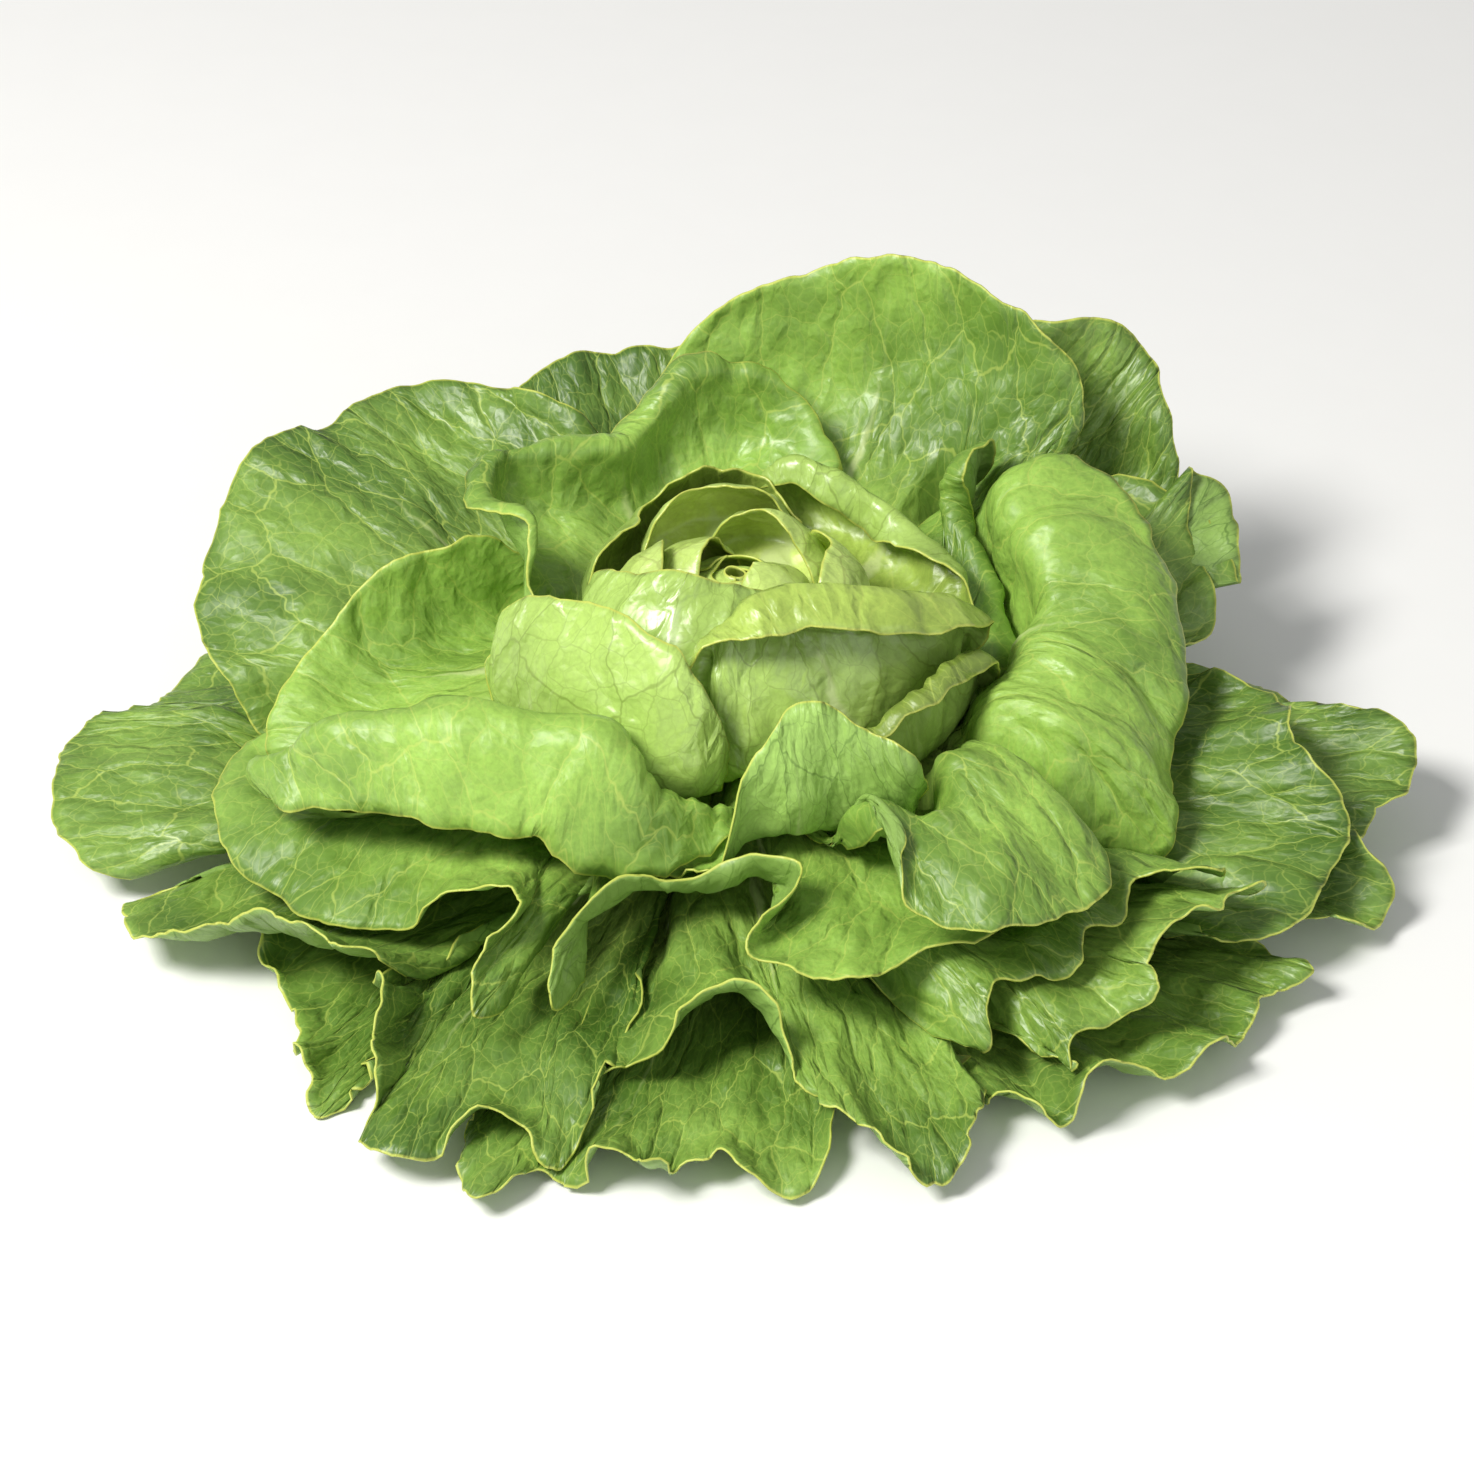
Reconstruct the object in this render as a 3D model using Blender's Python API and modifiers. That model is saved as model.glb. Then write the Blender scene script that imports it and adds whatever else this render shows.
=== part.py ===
"""Butterhead lettuce: a short cut stem, a heart of fused inner leaves and separate leaves around it.

Every leaf is a sheet that fans out from the stem to a rim. Points are given about a pivot
inside the stem by azimuth (0 front, 90 right, degrees), reach (millimetres) and rise
(degrees above the horizontal). Leaves are made from the inside out, and each one is bent
down until it lies clear under the leaves it grows outside of.
"""
import bpy
import bmesh
import numpy as np

MM = 0.001

# Driving dimensions, millimetres and degrees
PIVOT_HEIGHT = 22.0
LEAF_ROOT = 19.0
LEAF_THICKNESS = 0.8
LEAF_GAP = 2.4
TABLE_CLEARANCE = 1.4
TABLE_WAVE, WAVE_REACH = 0.6, 8.0
LEAF_ROWS = 6
COLUMNS_PER_KNOT = 1.5
LEAST_COLUMNS, MOST_COLUMNS = 12, 17
LIP_ROWS = 3
ROLL_SHARE = 0.5

# Outline of the stem from its crown down to the cut face: radius, height
STEM_OUTLINE = [(0.0, 40.2), (7.5, 38.5), (13.0, 34.8), (16.6, 29.5), (18.1, 24.0), (18.1, 20.0), (16.8, 15.0),
                (14.6, 11.2), (12.2, 8.4), (11.5, 5.0), (11.4, 0.8), (10.6, 0.0), (0.0, 0.0)]
# Outline of the solid middle of the heart, from the top down
CORE_OUTLINE = [(0.0, 62.0), (6.0, 61.0), (11.0, 58.0), (12.6, 53.0), (11.4, 48.0), (9.2, 43.5), (7.4, 40.4),
                (4.5, 41.0), (0.0, 41.4)]
TURNED_SIDES = 22

# Map of how low the leaves made so far reach: cells of azimuth and reach
AZIMUTH_CELL, REACH_CELL, FIRST_REACH = 1.5, 1.6, 15.0
AZIMUTH_CELLS, REACH_CELLS = 240, 90

STEM_COLOUR = (0.66, 0.74, 0.42, 1.0)
HEART_COLOUR = (0.47, 0.62, 0.14, 1.0)
WRAPPER_COLOUR = (0.36, 0.54, 0.12, 1.0)
MIDDLE_COLOUR = (0.20, 0.42, 0.07, 1.0)
OUTER_COLOUR = (0.13, 0.34, 0.05, 1.0)

# Rim knots are (azimuth, reach, rise). clasp is half the angle that the root takes round the
# stem, lift is the rise there, bowl makes a leaf leave low and turn up late, arch bows it up.
# low is the least height of its middle surface above the table, where others lie under it.
# A lip is a strip beyond the rim that turns outwards, or inwards if the turn is negative: its
# width and turn at even steps.
HEART_LEAVES = [
    dict(azimuth=70, lift=72, clasp=60, bowl=1.0, arch=-8,
         rim=[(-10, 34, 78), (20, 41, 84), (75, 43, 85), (120, 41, 84), (155, 34, 78)]),
    dict(azimuth=-115, lift=70, clasp=50, bowl=1.0, arch=-10,
         rim=[(-185, 34, 72), (-160, 43, 79), (-125, 45, 81), (-85, 43, 80), (-50, 35, 72)]),
    dict(azimuth=150, lift=66, clasp=44, bowl=1.1, arch=-12,
         rim=[(95, 36, 62), (115, 45, 71), (140, 48, 75), (170, 47, 73), (192, 45, 72), (210, 36, 62)]),
    dict(azimuth=15, lift=64, clasp=42, bowl=1.2, arch=-16,
         rim=[(-25, 34, 60), (-8, 41, 70), (14, 43, 75), (38, 42, 71), (58, 35, 60)]),
    dict(azimuth=-75, lift=62, clasp=40, bowl=1.1, arch=-12,
         rim=[(-128, 38, 60), (-108, 46, 69), (-88, 47, 71), (-66, 45, 68), (-46, 44, 66), (-28, 36, 58)]),
    dict(azimuth=85, lift=60, clasp=42, bowl=1.1, arch=-12,
         rim=[(38, 36, 56), (58, 46, 64), (80, 49, 67), (102, 49, 65), (122, 47, 65), (140, 38, 56)]),
    dict(azimuth=190, lift=60, clasp=40, bowl=1.1, arch=-12,
         rim=[(143, 40, 56), (160, 51, 64), (182, 53, 67), (204, 52, 64), (224, 50, 65), (242, 40, 56)]),
    dict(azimuth=-35, lift=60, clasp=40, bowl=1.1, arch=-12,
         rim=[(-84, 38, 54), (-66, 46, 61), (-45, 47, 66), (-22, 45, 66), (-4, 44, 63), (10, 36, 56)]),
]
HEART_ROOT = 26.0
HEART_COLUMNS, HEART_ROWS = 5, 3

LEAVES = [
    dict(name="wrapper_leaf_01", azimuth=-10, lift=54, clasp=40, bowl=1.2, arch=-16,
         rim=[(-95, 36, 46), (-80, 53, 55), (-56, 55, 63), (-25, 53, 69), (18, 49, 71), (58, 42, 66),
              (85, 30, 52)]),
    dict(name="wrapper_leaf_02", azimuth=-150, lift=50, clasp=40, bowl=1.2, arch=-14,
         rim=[(-78, 40, 40), (-100, 50, 54), (-130, 50, 58), (-158, 54, 56), (-172, 56, 53), (-190, 53, 50),
              (-210, 46, 48)]),
    dict(name="wrapper_leaf_03", azimuth=125, lift=46, clasp=38, bowl=1.2, arch=-14,
         rim=[(94, 40, 20), (100, 54, 27), (108, 57, 31), (123, 57, 37), (142, 59, 44), (160, 60, 48),
              (172, 55, 46), (185, 46, 42)],
         lip=[(0, -40), (6, -100), (9, -130), (10, -140), (11, -140), (9, -130), (5, -90), (0, -40)]),
    dict(name="wrapper_leaf_04", azimuth=34, lift=42, clasp=42, bowl=1.5, arch=-22,
         rim=[(-12, 40, 32), (-10, 51, 46), (-6, 54, 54), (6, 55, 59), (29, 55, 60), (52, 56, 54),
              (72, 58, 42), (86, 56, 29), (90, 44, 14)],
         lip=[(0, 60), (6, 120), (11, 150), (15, 165), (17, 165), (18, 160), (15, 150), (7, 90), (0, 60)]),
    dict(name="wrapper_leaf_05", azimuth=-42, lift=38, clasp=36, bowl=1.6, arch=-22,
         rim=[(-62, 55, 8), (-69, 62, 25), (-71, 65, 34), (-68, 67, 42), (-56, 66, 48), (-37, 65, 51),
              (-18, 63, 48), (-8, 59, 41), (-2, 54, 30)]),
    dict(name="wrapper_leaf_06", azimuth=50, lift=34, clasp=34, bowl=1.5, arch=-20,
         rim=[(8, 46, 20), (22, 56, 27), (34, 58, 29), (46, 60, 31), (58, 61, 33), (72, 59, 28), (84, 52, 14)],
         lip=[(0, 40), (3, 80), (5, 110), (6, 120), (8, 130), (8, 120), (0, 40)]),
    dict(name="middle_leaf_01", azimuth=100, lift=34, clasp=32, bowl=1.2, arch=-10,
         rim=[(80, 54, 4), (88, 62, 11), (98, 63, 17), (110, 64, 23), (121, 65, 28), (129, 67, 31),
              (131, 74, 32), (132, 82, 30), (134, 82, 22), (138, 74, 16)],
         lip=[(0, 30), (4, 60), (7, 90), (8, 100), (8, 100), (8, 90), (6, 70), (3, 50), (0, 30)]),
    dict(name="middle_leaf_02", azimuth=-150, lift=36, clasp=38, bowl=0.9, arch=-8,
         rim=[(-82, 50, 32), (-103, 62, 44), (-112, 73, 36), (-122, 77, 37), (-135, 71, 39), (-150, 66, 39),
              (-161, 71, 38), (-169, 80, 38), (-179, 82, 37), (-190, 80, 33), (-203, 66, 28)],
         lip=[(0, 40), (4, 90), (8, 130), (10, 140), (10, 140), (8, 120), (4, 90), (2, 60), (0, 40)]),
    dict(name="middle_leaf_03", azimuth=-90, lift=24, clasp=34, bowl=1.1, arch=-16,
         rim=[(-64, 60, 6), (-75, 92, -2), (-81, 103, 1), (-86, 102, 5), (-91, 96, 10), (-96, 91, 15),
              (-102, 83, 21), (-107, 76, 25), (-114, 69, 28), (-122, 58, 24)]),
    dict(name="middle_leaf_04", azimuth=-40, lift=22, clasp=30, bowl=1.6, arch=-14,
         rim=[(-70, 62, 6), (-71, 88, 4), (-71, 106, 5), (-70, 106, 8), (-67, 99, 13), (-61, 87, 20),
              (-50, 74, 25), (-36, 67, 28), (-22, 61, 29), (-10, 57, 26), (-2, 52, 20)],
         lip=[(0, 40), (0, 60), (4, 90), (13, 130), (24, 150), (32, 160), (36, 165), (36, 165), (32, 160),
              (20, 150), (6, 110)]),
    dict(name="middle_leaf_05", azimuth=14, lift=22, clasp=32, bowl=1.6, arch=-13,
         rim=[(-18, 60, 8), (-17, 64, 15), (-8, 65, 18), (-1, 66, 23), (8, 68, 34), (15, 69, 38), (22, 69, 35),
              (28, 71, 30), (33, 74, 25), (40, 62, 12)]),
    dict(name="middle_leaf_06", azimuth=38, lift=16, clasp=30, bowl=0.2, arch=7,
         rim=[(20, 66, 10), (24, 86, 18), (22, 94, 15), (22, 102, 11), (26, 109, 9), (32, 113, 8),
              (37, 113, 8), (43, 112, 8), (49, 98, 8), (54, 70, 6)]),
    dict(name="middle_leaf_07", azimuth=84, lift=8, clasp=36, bowl=0.25, arch=17, low=14.5,
         rim=[(56, 60, 0), (60, 90, -2), (64, 102, -2), (67, 102, 2), (74, 99, 6), (81, 100, 9), (89, 100, 13),
              (98, 100, 18), (109, 98, 23), (118, 96, 28), (124, 86, 26), (130, 60, 20)]),
    dict(name="middle_leaf_08", azimuth=156, lift=26, clasp=40, bowl=0.5, arch=-6,
         rim=[(216, 60, 20), (200, 78, 26), (190, 92, 31), (180, 102, 36), (169, 106, 38), (156, 111, 40),
              (146, 114, 39), (135, 112, 34), (128, 110, 27), (128, 96, 18), (130, 64, 12)]),
    dict(name="middle_leaf_09", azimuth=5, lift=6, clasp=34, bowl=1.2, arch=-3,
         rim=[(-20, 88, -5), (-22, 102, -3), (-23, 96, 2), (-19, 80, 8), (-9, 70, 11), (2, 70, 12),
              (9, 78, 11), (2, 92, 7), (6, 98, 4), (13, 101, 3), (22, 98, 3), (34, 96, 1), (44, 74, -4)]),
    dict(name="middle_leaf_10", azimuth=-54, lift=4, clasp=32, bowl=0.9, arch=-1,
         rim=[(-94, 70, 0), (-88, 104, -1), (-76, 116, -2), (-67, 117, -2), (-60, 112, -3), (-52, 110, -3),
              (-46, 104, -1), (-39, 98, 4), (-32, 93, 7), (-28, 94, 7), (-30, 105, 3), (-28, 113, -1),
              (-28, 102, -4), (-32, 74, -6)]),
    dict(name="outer_leaf_01", azimuth=108, lift=6, clasp=30, bowl=0.2,
         rim=[(88, 66, 0), (97, 100, 4), (103, 110, 4), (109, 114, 7), (114, 114, 10), (118, 121, 13),
              (115, 126, 10), (111, 122, 8), (108, 120, 6), (118, 118, 12), (128, 104, 12), (134, 66, 8)]),
    dict(name="outer_leaf_02", azimuth=138, lift=2, clasp=34, bowl=0.3,
         rim=[(172, 60, 10), (150, 98, 28), (139, 117, 28), (134, 129, 24), (130, 131, 20), (126, 127, 18),
              (122, 122, 15), (120, 112, 11), (118, 90, 5), (112, 60, 0)]),
    dict(name="outer_leaf_03", azimuth=-120, lift=8, clasp=36, bowl=0.1, arch=2,
         rim=[(-166, 60, 14), (-152, 90, 22), (-146, 104, 19), (-140, 117, 17), (-134, 123, 16),
              (-128, 125, 15), (-121, 131, 14), (-111, 129, 11), (-100, 123, 6), (-93, 112, 2), (-88, 96, -3),
              (-84, 66, -4)]),
    dict(name="outer_leaf_04", azimuth=-168, lift=2, clasp=34, bowl=0.1,
         rim=[(-138, 60, 2), (-143, 98, 11), (-150, 109, 16), (-156, 112, 18), (-162, 112, 18),
              (-169, 111, 18), (-176, 109, 18), (-186, 106, 16), (-196, 94, 10), (-206, 60, 4)]),
    dict(name="outer_leaf_05", azimuth=42, lift=2, clasp=30, bowl=0.7, low=11,
         rim=[(18, 76, -8), (24, 108, -8), (27, 115, -5), (28, 110, -2), (31, 106, 0), (36, 110, -1),
              (39, 113, 1), (42, 108, 3), (46, 112, 4), (50, 108, 6), (54, 117, 6), (58, 121, 3), (62, 108, 0),
              (66, 76, -6)]),
    dict(name="outer_leaf_17", azimuth=44, lift=-2, clasp=18, bowl=0.8, low=9,
         rim=[(30, 80, -8), (31, 112, -9), (33, 128, -7), (34, 124, -3), (38, 125, -2), (42, 129, 0),
              (43, 122, 2), (47, 121, 3), (52, 126, 3), (56, 124, 4), (59, 128, 1), (60, 112, -3),
              (58, 80, -8)]),
    dict(name="outer_leaf_06", azimuth=76, lift=-4, clasp=34, bowl=0.3, low=6.5,
         rim=[(52, 80, -5), (55, 112, -4), (57, 127, -3), (61, 135, -2), (67, 136, -1), (72, 137, 1),
              (75, 131, 3), (80, 123, 4), (86, 120, 5), (91, 114, 5), (96, 98, 3), (102, 66, 0)]),
    dict(name="outer_leaf_07", azimuth=-88, lift=-6, clasp=34, bowl=0.1, arch=3, low=5.5,
         rim=[(-70, 70, -7), (-74, 112, -6), (-74, 141, -6), (-79, 150, -5), (-86, 151, -4), (-92, 148, -3),
              (-95, 142, -3), (-97, 133, -3), (-102, 131, -4), (-108, 124, -5), (-113, 104, -5),
              (-118, 70, -4)]),
    dict(name="outer_leaf_08", azimuth=-60, lift=-8, clasp=26, bowl=1, low=3.2,
         rim=[(-74, 70, -10), (-71, 134, -6), (-67, 142, -5), (-61, 141, -4), (-58, 132, -1), (-55, 128, 2),
              (-51, 123, 4), (-46, 119, 3), (-43, 117, 2), (-40, 108, -3), (-40, 76, -8)]),
    dict(name="outer_leaf_09", azimuth=-36, lift=-12, clasp=18, bowl=0.8, low=7.7,
         rim=[(-44, 70, -9), (-43, 104, -2), (-40, 116, 0), (-37, 120, 0), (-36, 130, -3), (-33, 134, -4),
              (-31, 147, -7), (-27, 148, -7), (-24, 138, -4), (-19, 131, -4), (-16, 136, -6), (-14, 122, -7),
              (-14, 98, -9), (-16, 70, -13)]),
    dict(name="outer_leaf_10", azimuth=4, lift=-6, clasp=24, bowl=0.8, low=6.5,
         rim=[(-22, 76, -12), (-18, 111, -5), (-13, 108, -1), (-5, 104, 1), (0, 104, 1), (5, 109, -1),
              (7, 117, -3), (10, 128, -4), (13, 138, -6), (17, 141, -6), (21, 133, -6), (24, 120, -6),
              (24, 76, -10)]),
    dict(name="outer_leaf_11", azimuth=86, lift=-14, clasp=22, bowl=0.2, arch=2, low=4,
         rim=[(68, 76, -10), (65, 131, -5), (67, 144, -5), (71, 148, -5), (74, 139, -3), (78, 139, -2),
              (82, 148, -2), (87, 149, -1), (91, 142, -1), (96, 126, -2), (106, 112, -4), (116, 72, -8)]),
    dict(name="outer_leaf_12", azimuth=-8, lift=-26, clasp=17, bowl=0.3, low=4,
         rim=[(-24, 76, -12), (-25, 118, -6), (-25, 130, -5), (-23, 141, -6), (-20, 151, -7), (-17, 137, -6),
              (-14, 137, -6), (-10, 138, -6), (-7, 140, -7), (-3, 130, -7), (1, 136, -7), (6, 136, -7),
              (9, 124, -8), (14, 76, -12)]),
    dict(name="outer_leaf_13", azimuth=46, lift=-20, clasp=20, bowl=0.2,
         rim=[(27, 76, -12), (25, 118, -8), (27, 132, -7), (30, 137, -7), (35, 134, -5), (40, 139, -6),
              (45, 140, -4), (49, 139, -6), (53, 137, -4), (56, 138, -5), (59, 140, -4), (61, 132, -6),
              (61, 108, -9), (61, 76, -13)]),
    dict(name="outer_leaf_14", azimuth=-52, lift=-26, clasp=14, bowl=0.3,
         rim=[(-62, 76, -12), (-62, 108, -9), (-58, 120, -8), (-52, 121, -7), (-46, 126, -7), (-43, 134, -7),
              (-40, 137, -8), (-38, 142, -8), (-37, 136, -8), (-38, 118, -10), (-40, 76, -12)]),
    dict(name="outer_leaf_15", azimuth=-140, lift=-16, clasp=34, bowl=0.1, arch=3,
         rim=[(-180, 76, -8), (-166, 114, -5), (-152, 124, -4), (-138, 128, -3), (-124, 130, -5),
              (-114, 124, -6), (-104, 112, -7), (-98, 76, -10)]),
    dict(name="outer_leaf_16", azimuth=152, lift=-16, clasp=34, bowl=0.1, arch=3,
         rim=[(112, 76, -8), (122, 118, -5), (134, 128, -5), (148, 126, -3), (162, 128, -4), (174, 122, -4),
              (184, 110, -6), (192, 76, -10)]),
]


def from_pivot(azimuth, reach, rise):
    """Points in millimetres from azimuth, reach and rise about the pivot."""
    turn, up = np.radians(azimuth), np.radians(rise)
    flat = reach * np.cos(up)
    return np.stack([flat * np.sin(turn), -flat * np.cos(turn), PIVOT_HEIGHT + reach * np.sin(up)], -1)


def about_pivot(points):
    """Azimuth, reach and rise of points given in millimetres."""
    x, y, height = points[..., 0], points[..., 1], points[..., 2] - PIVOT_HEIGHT
    flat = np.hypot(x, y)
    return np.degrees(np.arctan2(x, -y)), np.hypot(flat, height), np.degrees(np.arctan2(height, flat))


def through(knots, along):
    """A smooth curve through evenly spaced knots, read at along from 0 to 1."""
    knots = np.asarray(knots, float)
    last = len(knots) - 1
    knots = np.vstack([2 * knots[0] - knots[1], knots, 2 * knots[-1] - knots[-2]])
    place = np.clip(along * last, 0, last - 1e-9)
    i = place.astype(int)
    f = (place - i)[..., None]
    a, b, c, d = knots[i], knots[i + 1], knots[i + 2], knots[i + 3]
    return 0.5 * (2 * b + (c - a) * f + (2 * a - 5 * b + 4 * c - d) * f**2 + (3 * b - a - 3 * c + d) * f**3)


def spread(leaf, columns, rows, root):
    """Azimuth, reach and rise of a leaf's grid: spokes from its root round the stem to its rim."""
    along, out = np.meshgrid(np.linspace(0, 1, columns + 1), np.linspace(0, 1, rows + 1), indexing="ij")
    rim = through(leaf["rim"], along)
    bowl = leaf["bowl"]
    side = 1 if leaf["rim"][-1][0] > leaf["rim"][0][0] else -1
    at_root = leaf["azimuth"] + side * leaf["clasp"] * (2 * along - 1)
    ease = out * out * (3 - 2 * out)
    azimuth = at_root + (rim[..., 0] - at_root) * (0.45 * out + 0.55 * ease)
    reach = root + (rim[..., 1] - root) * out ** (1 / (1 + bowl))
    rise = leaf["lift"] + (rim[..., 2] - leaf["lift"]) * out ** (1 + 2 * bowl)
    return azimuth, reach, rise + leaf.get("arch", 0) * np.sin(np.pi * out)


def with_lip(points, lip):
    """Rows added beyond the rim that turn over in a roll and then run straight on."""
    columns, rows = points.shape[0], LIP_ROWS
    width, turn = np.moveaxis(through(lip, np.linspace(0, 1, columns)), -1, 0)
    width = np.maximum(width, 0.6)
    along = np.gradient(points[:, -1], axis=0)
    along /= np.linalg.norm(along, axis=-1, keepdims=True)
    out = points[:, -1] - points[:, -2]
    out -= along * (out * along).sum(-1, keepdims=True)
    out /= np.linalg.norm(out, axis=-1, keepdims=True)
    across = np.cross(along, out)
    if (across[columns // 2] * points[columns // 2, -1])[:2].sum() < 0:
        across = -across
    row, added = points[:, -1], [points]
    for k in range(rows):
        bend = np.radians(turn * min(1, (k + 0.7) / (rows * ROLL_SHARE)))[:, None]
        row = row + (out * np.cos(bend) + across * np.sin(bend)) * (width / rows)[:, None]
        added.append(row[:, None])
    return np.concatenate(added, 1)


def filled(points, parts=4):
    """The grid with in-between points on its facets."""
    u = np.linspace(0, points.shape[0] - 1, (points.shape[0] - 1) * parts + 1)
    w = np.linspace(0, points.shape[1] - 1, (points.shape[1] - 1) * parts + 1)
    i, j = np.minimum(u.astype(int), points.shape[0] - 2), np.minimum(w.astype(int), points.shape[1] - 2)
    f, g = (u - i)[:, None, None], (w - j)[None, :, None]
    near = (1 - g) * points[np.ix_(i, j)] + g * points[np.ix_(i, j + 1)]
    far = (1 - g) * points[np.ix_(i + 1, j)] + g * points[np.ix_(i + 1, j + 1)]
    return (1 - f) * near + f * far


def cell_of(azimuth, reach):
    """Which cell of the map a place falls in."""
    i = np.floor((azimuth % 360) / AZIMUTH_CELL).astype(int) % AZIMUTH_CELLS
    j = np.clip(np.floor((reach - FIRST_REACH) / REACH_CELL).astype(int), 0, REACH_CELLS - 1)
    return i, j


def note_low_points(lowest, points, parts=12):
    """Enters a leaf's own lowest rise in each cell of the map."""
    azimuth, reach, rise = about_pivot(filled(points, parts))
    i, j = cell_of(azimuth, reach)
    np.minimum.at(lowest, (i.ravel(), j.ravel()), rise.ravel())


def widened(lowest):
    """The map with each cell as low as its neighbours."""
    wide = np.minimum(lowest, np.minimum(np.roll(lowest, 1, 0), np.roll(lowest, -1, 0)))
    out = wide.copy()
    out[:, 1:] = np.minimum(out[:, 1:], wide[:, :-1])
    out[:, :-1] = np.minimum(out[:, :-1], wide[:, 1:])
    return out


def softened(grid):
    """The grid averaged with its neighbours."""
    grid = np.pad(grid, 1, mode="edge")
    grid = (grid[:-2] + 2 * grid[1:-1] + grid[2:]) / 4
    return (grid[:, :-2] + 2 * grid[:, 1:-1] + grid[:, 2:]) / 4


def bent_clear(azimuth, reach, rise, lowest, low, parts=4, rounds=10, soft=3):
    """The rise of the leaf lowered, softly, until its facets clear the leaves above it, but kept off
    the table by its low height and shallow waves."""
    limit = widened(lowest)
    for _ in range(rounds):
        turn, out, up = about_pivot(filled(from_pivot(azimuth, reach, rise), parts))
        room = limit[cell_of(turn, out)] - np.degrees(LEAF_GAP / np.maximum(out, LEAF_ROOT))
        over = np.maximum(0, up - room)
        if over.max() < 0.05:
            break
        corner = np.zeros(rise.shape)
        for step in (0, parts - 1):
            i = (np.arange(over.shape[0]) + step) // parts
            j = (np.arange(over.shape[1]) + step) // parts
            for rows in (0, parts - 1):
                j = (np.arange(over.shape[1]) + rows) // parts
                np.maximum.at(corner, (i[:, None] + 0 * j[None], j[None] + 0 * i[:, None]), over)
        lowered = corner
        for _ in range(soft):
            lowered = np.maximum(corner, softened(lowered))
        rise = rise - lowered
    turn = np.radians(azimuth)
    waves = TABLE_WAVE * (1 + np.sin(reach * np.sin(turn) / WAVE_REACH) * np.cos(reach * np.cos(turn) / WAVE_REACH))
    floor = np.degrees(np.arcsin(np.clip((low + waves - PIVOT_HEIGHT) / reach, -1, 1)))
    return np.maximum(rise, floor)


def sheet_solid(name, points, thickness):
    """A leaf: a grid laid through the points of its middle surface and given its thickness."""
    columns, rows = points.shape[0], points.shape[1]
    bm = bmesh.new()
    bmesh.ops.create_grid(bm, x_segments=columns - 1, y_segments=rows - 1, size=0.5)
    for v in bm.verts:
        i = round((v.co.x + 0.5) * (columns - 1))
        j = round((v.co.y + 0.5) * (rows - 1))
        v.co = points[i, j] * MM
    bmesh.ops.triangulate(bm, faces=bm.faces[:], quad_method='FIXED')
    mesh = bpy.data.meshes.new(name)
    bm.to_mesh(mesh)
    bm.free()
    mesh.shade_smooth()
    obj = bpy.data.objects.new(name, mesh)
    shell = obj.modifiers.new("thickness", 'SOLIDIFY')
    shell.thickness = thickness * MM
    shell.offset = 0.0
    shell.use_even_offset = False
    return obj


def turned_solid(name, outline, collection):
    """A body turned round the upright axis from (radius, height) pairs, listed from the top down."""
    mesh = bpy.data.meshes.new(name)
    verts = [(radius * MM, 0, height * MM) for radius, height in outline]
    mesh.from_pydata(verts, [(k, k + 1) for k in range(len(verts) - 1)], [])
    obj = bpy.data.objects.new(name, mesh)
    collection.objects.link(obj)
    screw = obj.modifiers.new("turn", 'SCREW')
    screw.steps = screw.render_steps = TURNED_SIDES
    screw.use_merge_vertices = True
    screw.merge_threshold = 0.00001
    screw.use_smooth_shade = False
    cut = obj.modifiers.new("triangles", 'TRIANGULATE')
    cut.min_vertices = 4
    return obj


def coloured(obj, colour, roughness):
    """Gives the object its own material."""
    mat = bpy.data.materials.new(obj.name)
    mat.use_nodes = True
    shader = mat.node_tree.nodes["Principled BSDF"]
    shader.inputs["Base Color"].default_value = colour
    shader.inputs["Roughness"].default_value = roughness
    shader.inputs["Metallic"].default_value = 0.0
    obj.data.materials.clear()
    obj.data.materials.append(mat)


def made_heart(lettuce, pieces, lowest):
    """The core and the small inner leaves round it, joined into one solid."""
    core = turned_solid("heart", CORE_OUTLINE, lettuce)
    for k, leaf in enumerate(HEART_LEAVES):
        points = from_pivot(*spread(leaf, HEART_COLUMNS, HEART_ROWS, HEART_ROOT))
        note_low_points(lowest, points)
        pieces.objects.link(sheet_solid("heart_piece_%d" % k, points, LEAF_THICKNESS))
    ring = np.linspace(0, 2 * np.pi, 60)
    radius, height = np.array(CORE_OUTLINE).T
    side = np.stack([np.outer(np.cos(ring), radius), np.outer(np.sin(ring), radius),
                     np.outer(np.ones(60), height)], -1)
    note_low_points(lowest, side)
    union = core.modifiers.new("join", 'BOOLEAN')
    union.operation = 'UNION'
    union.operand_type = 'COLLECTION'
    union.collection = pieces
    union.solver = 'EXACT'
    union.use_self = True
    bpy.context.view_layer.update()
    evaluated = core.evaluated_get(bpy.context.evaluated_depsgraph_get())
    joined = bpy.data.meshes.new_from_object(evaluated)
    core.modifiers.clear()
    core.data = joined
    for piece in list(pieces.objects):
        bpy.data.objects.remove(piece)
    bpy.data.collections.remove(pieces)
    coloured(core, HEART_COLOUR, 0.4)


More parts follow.
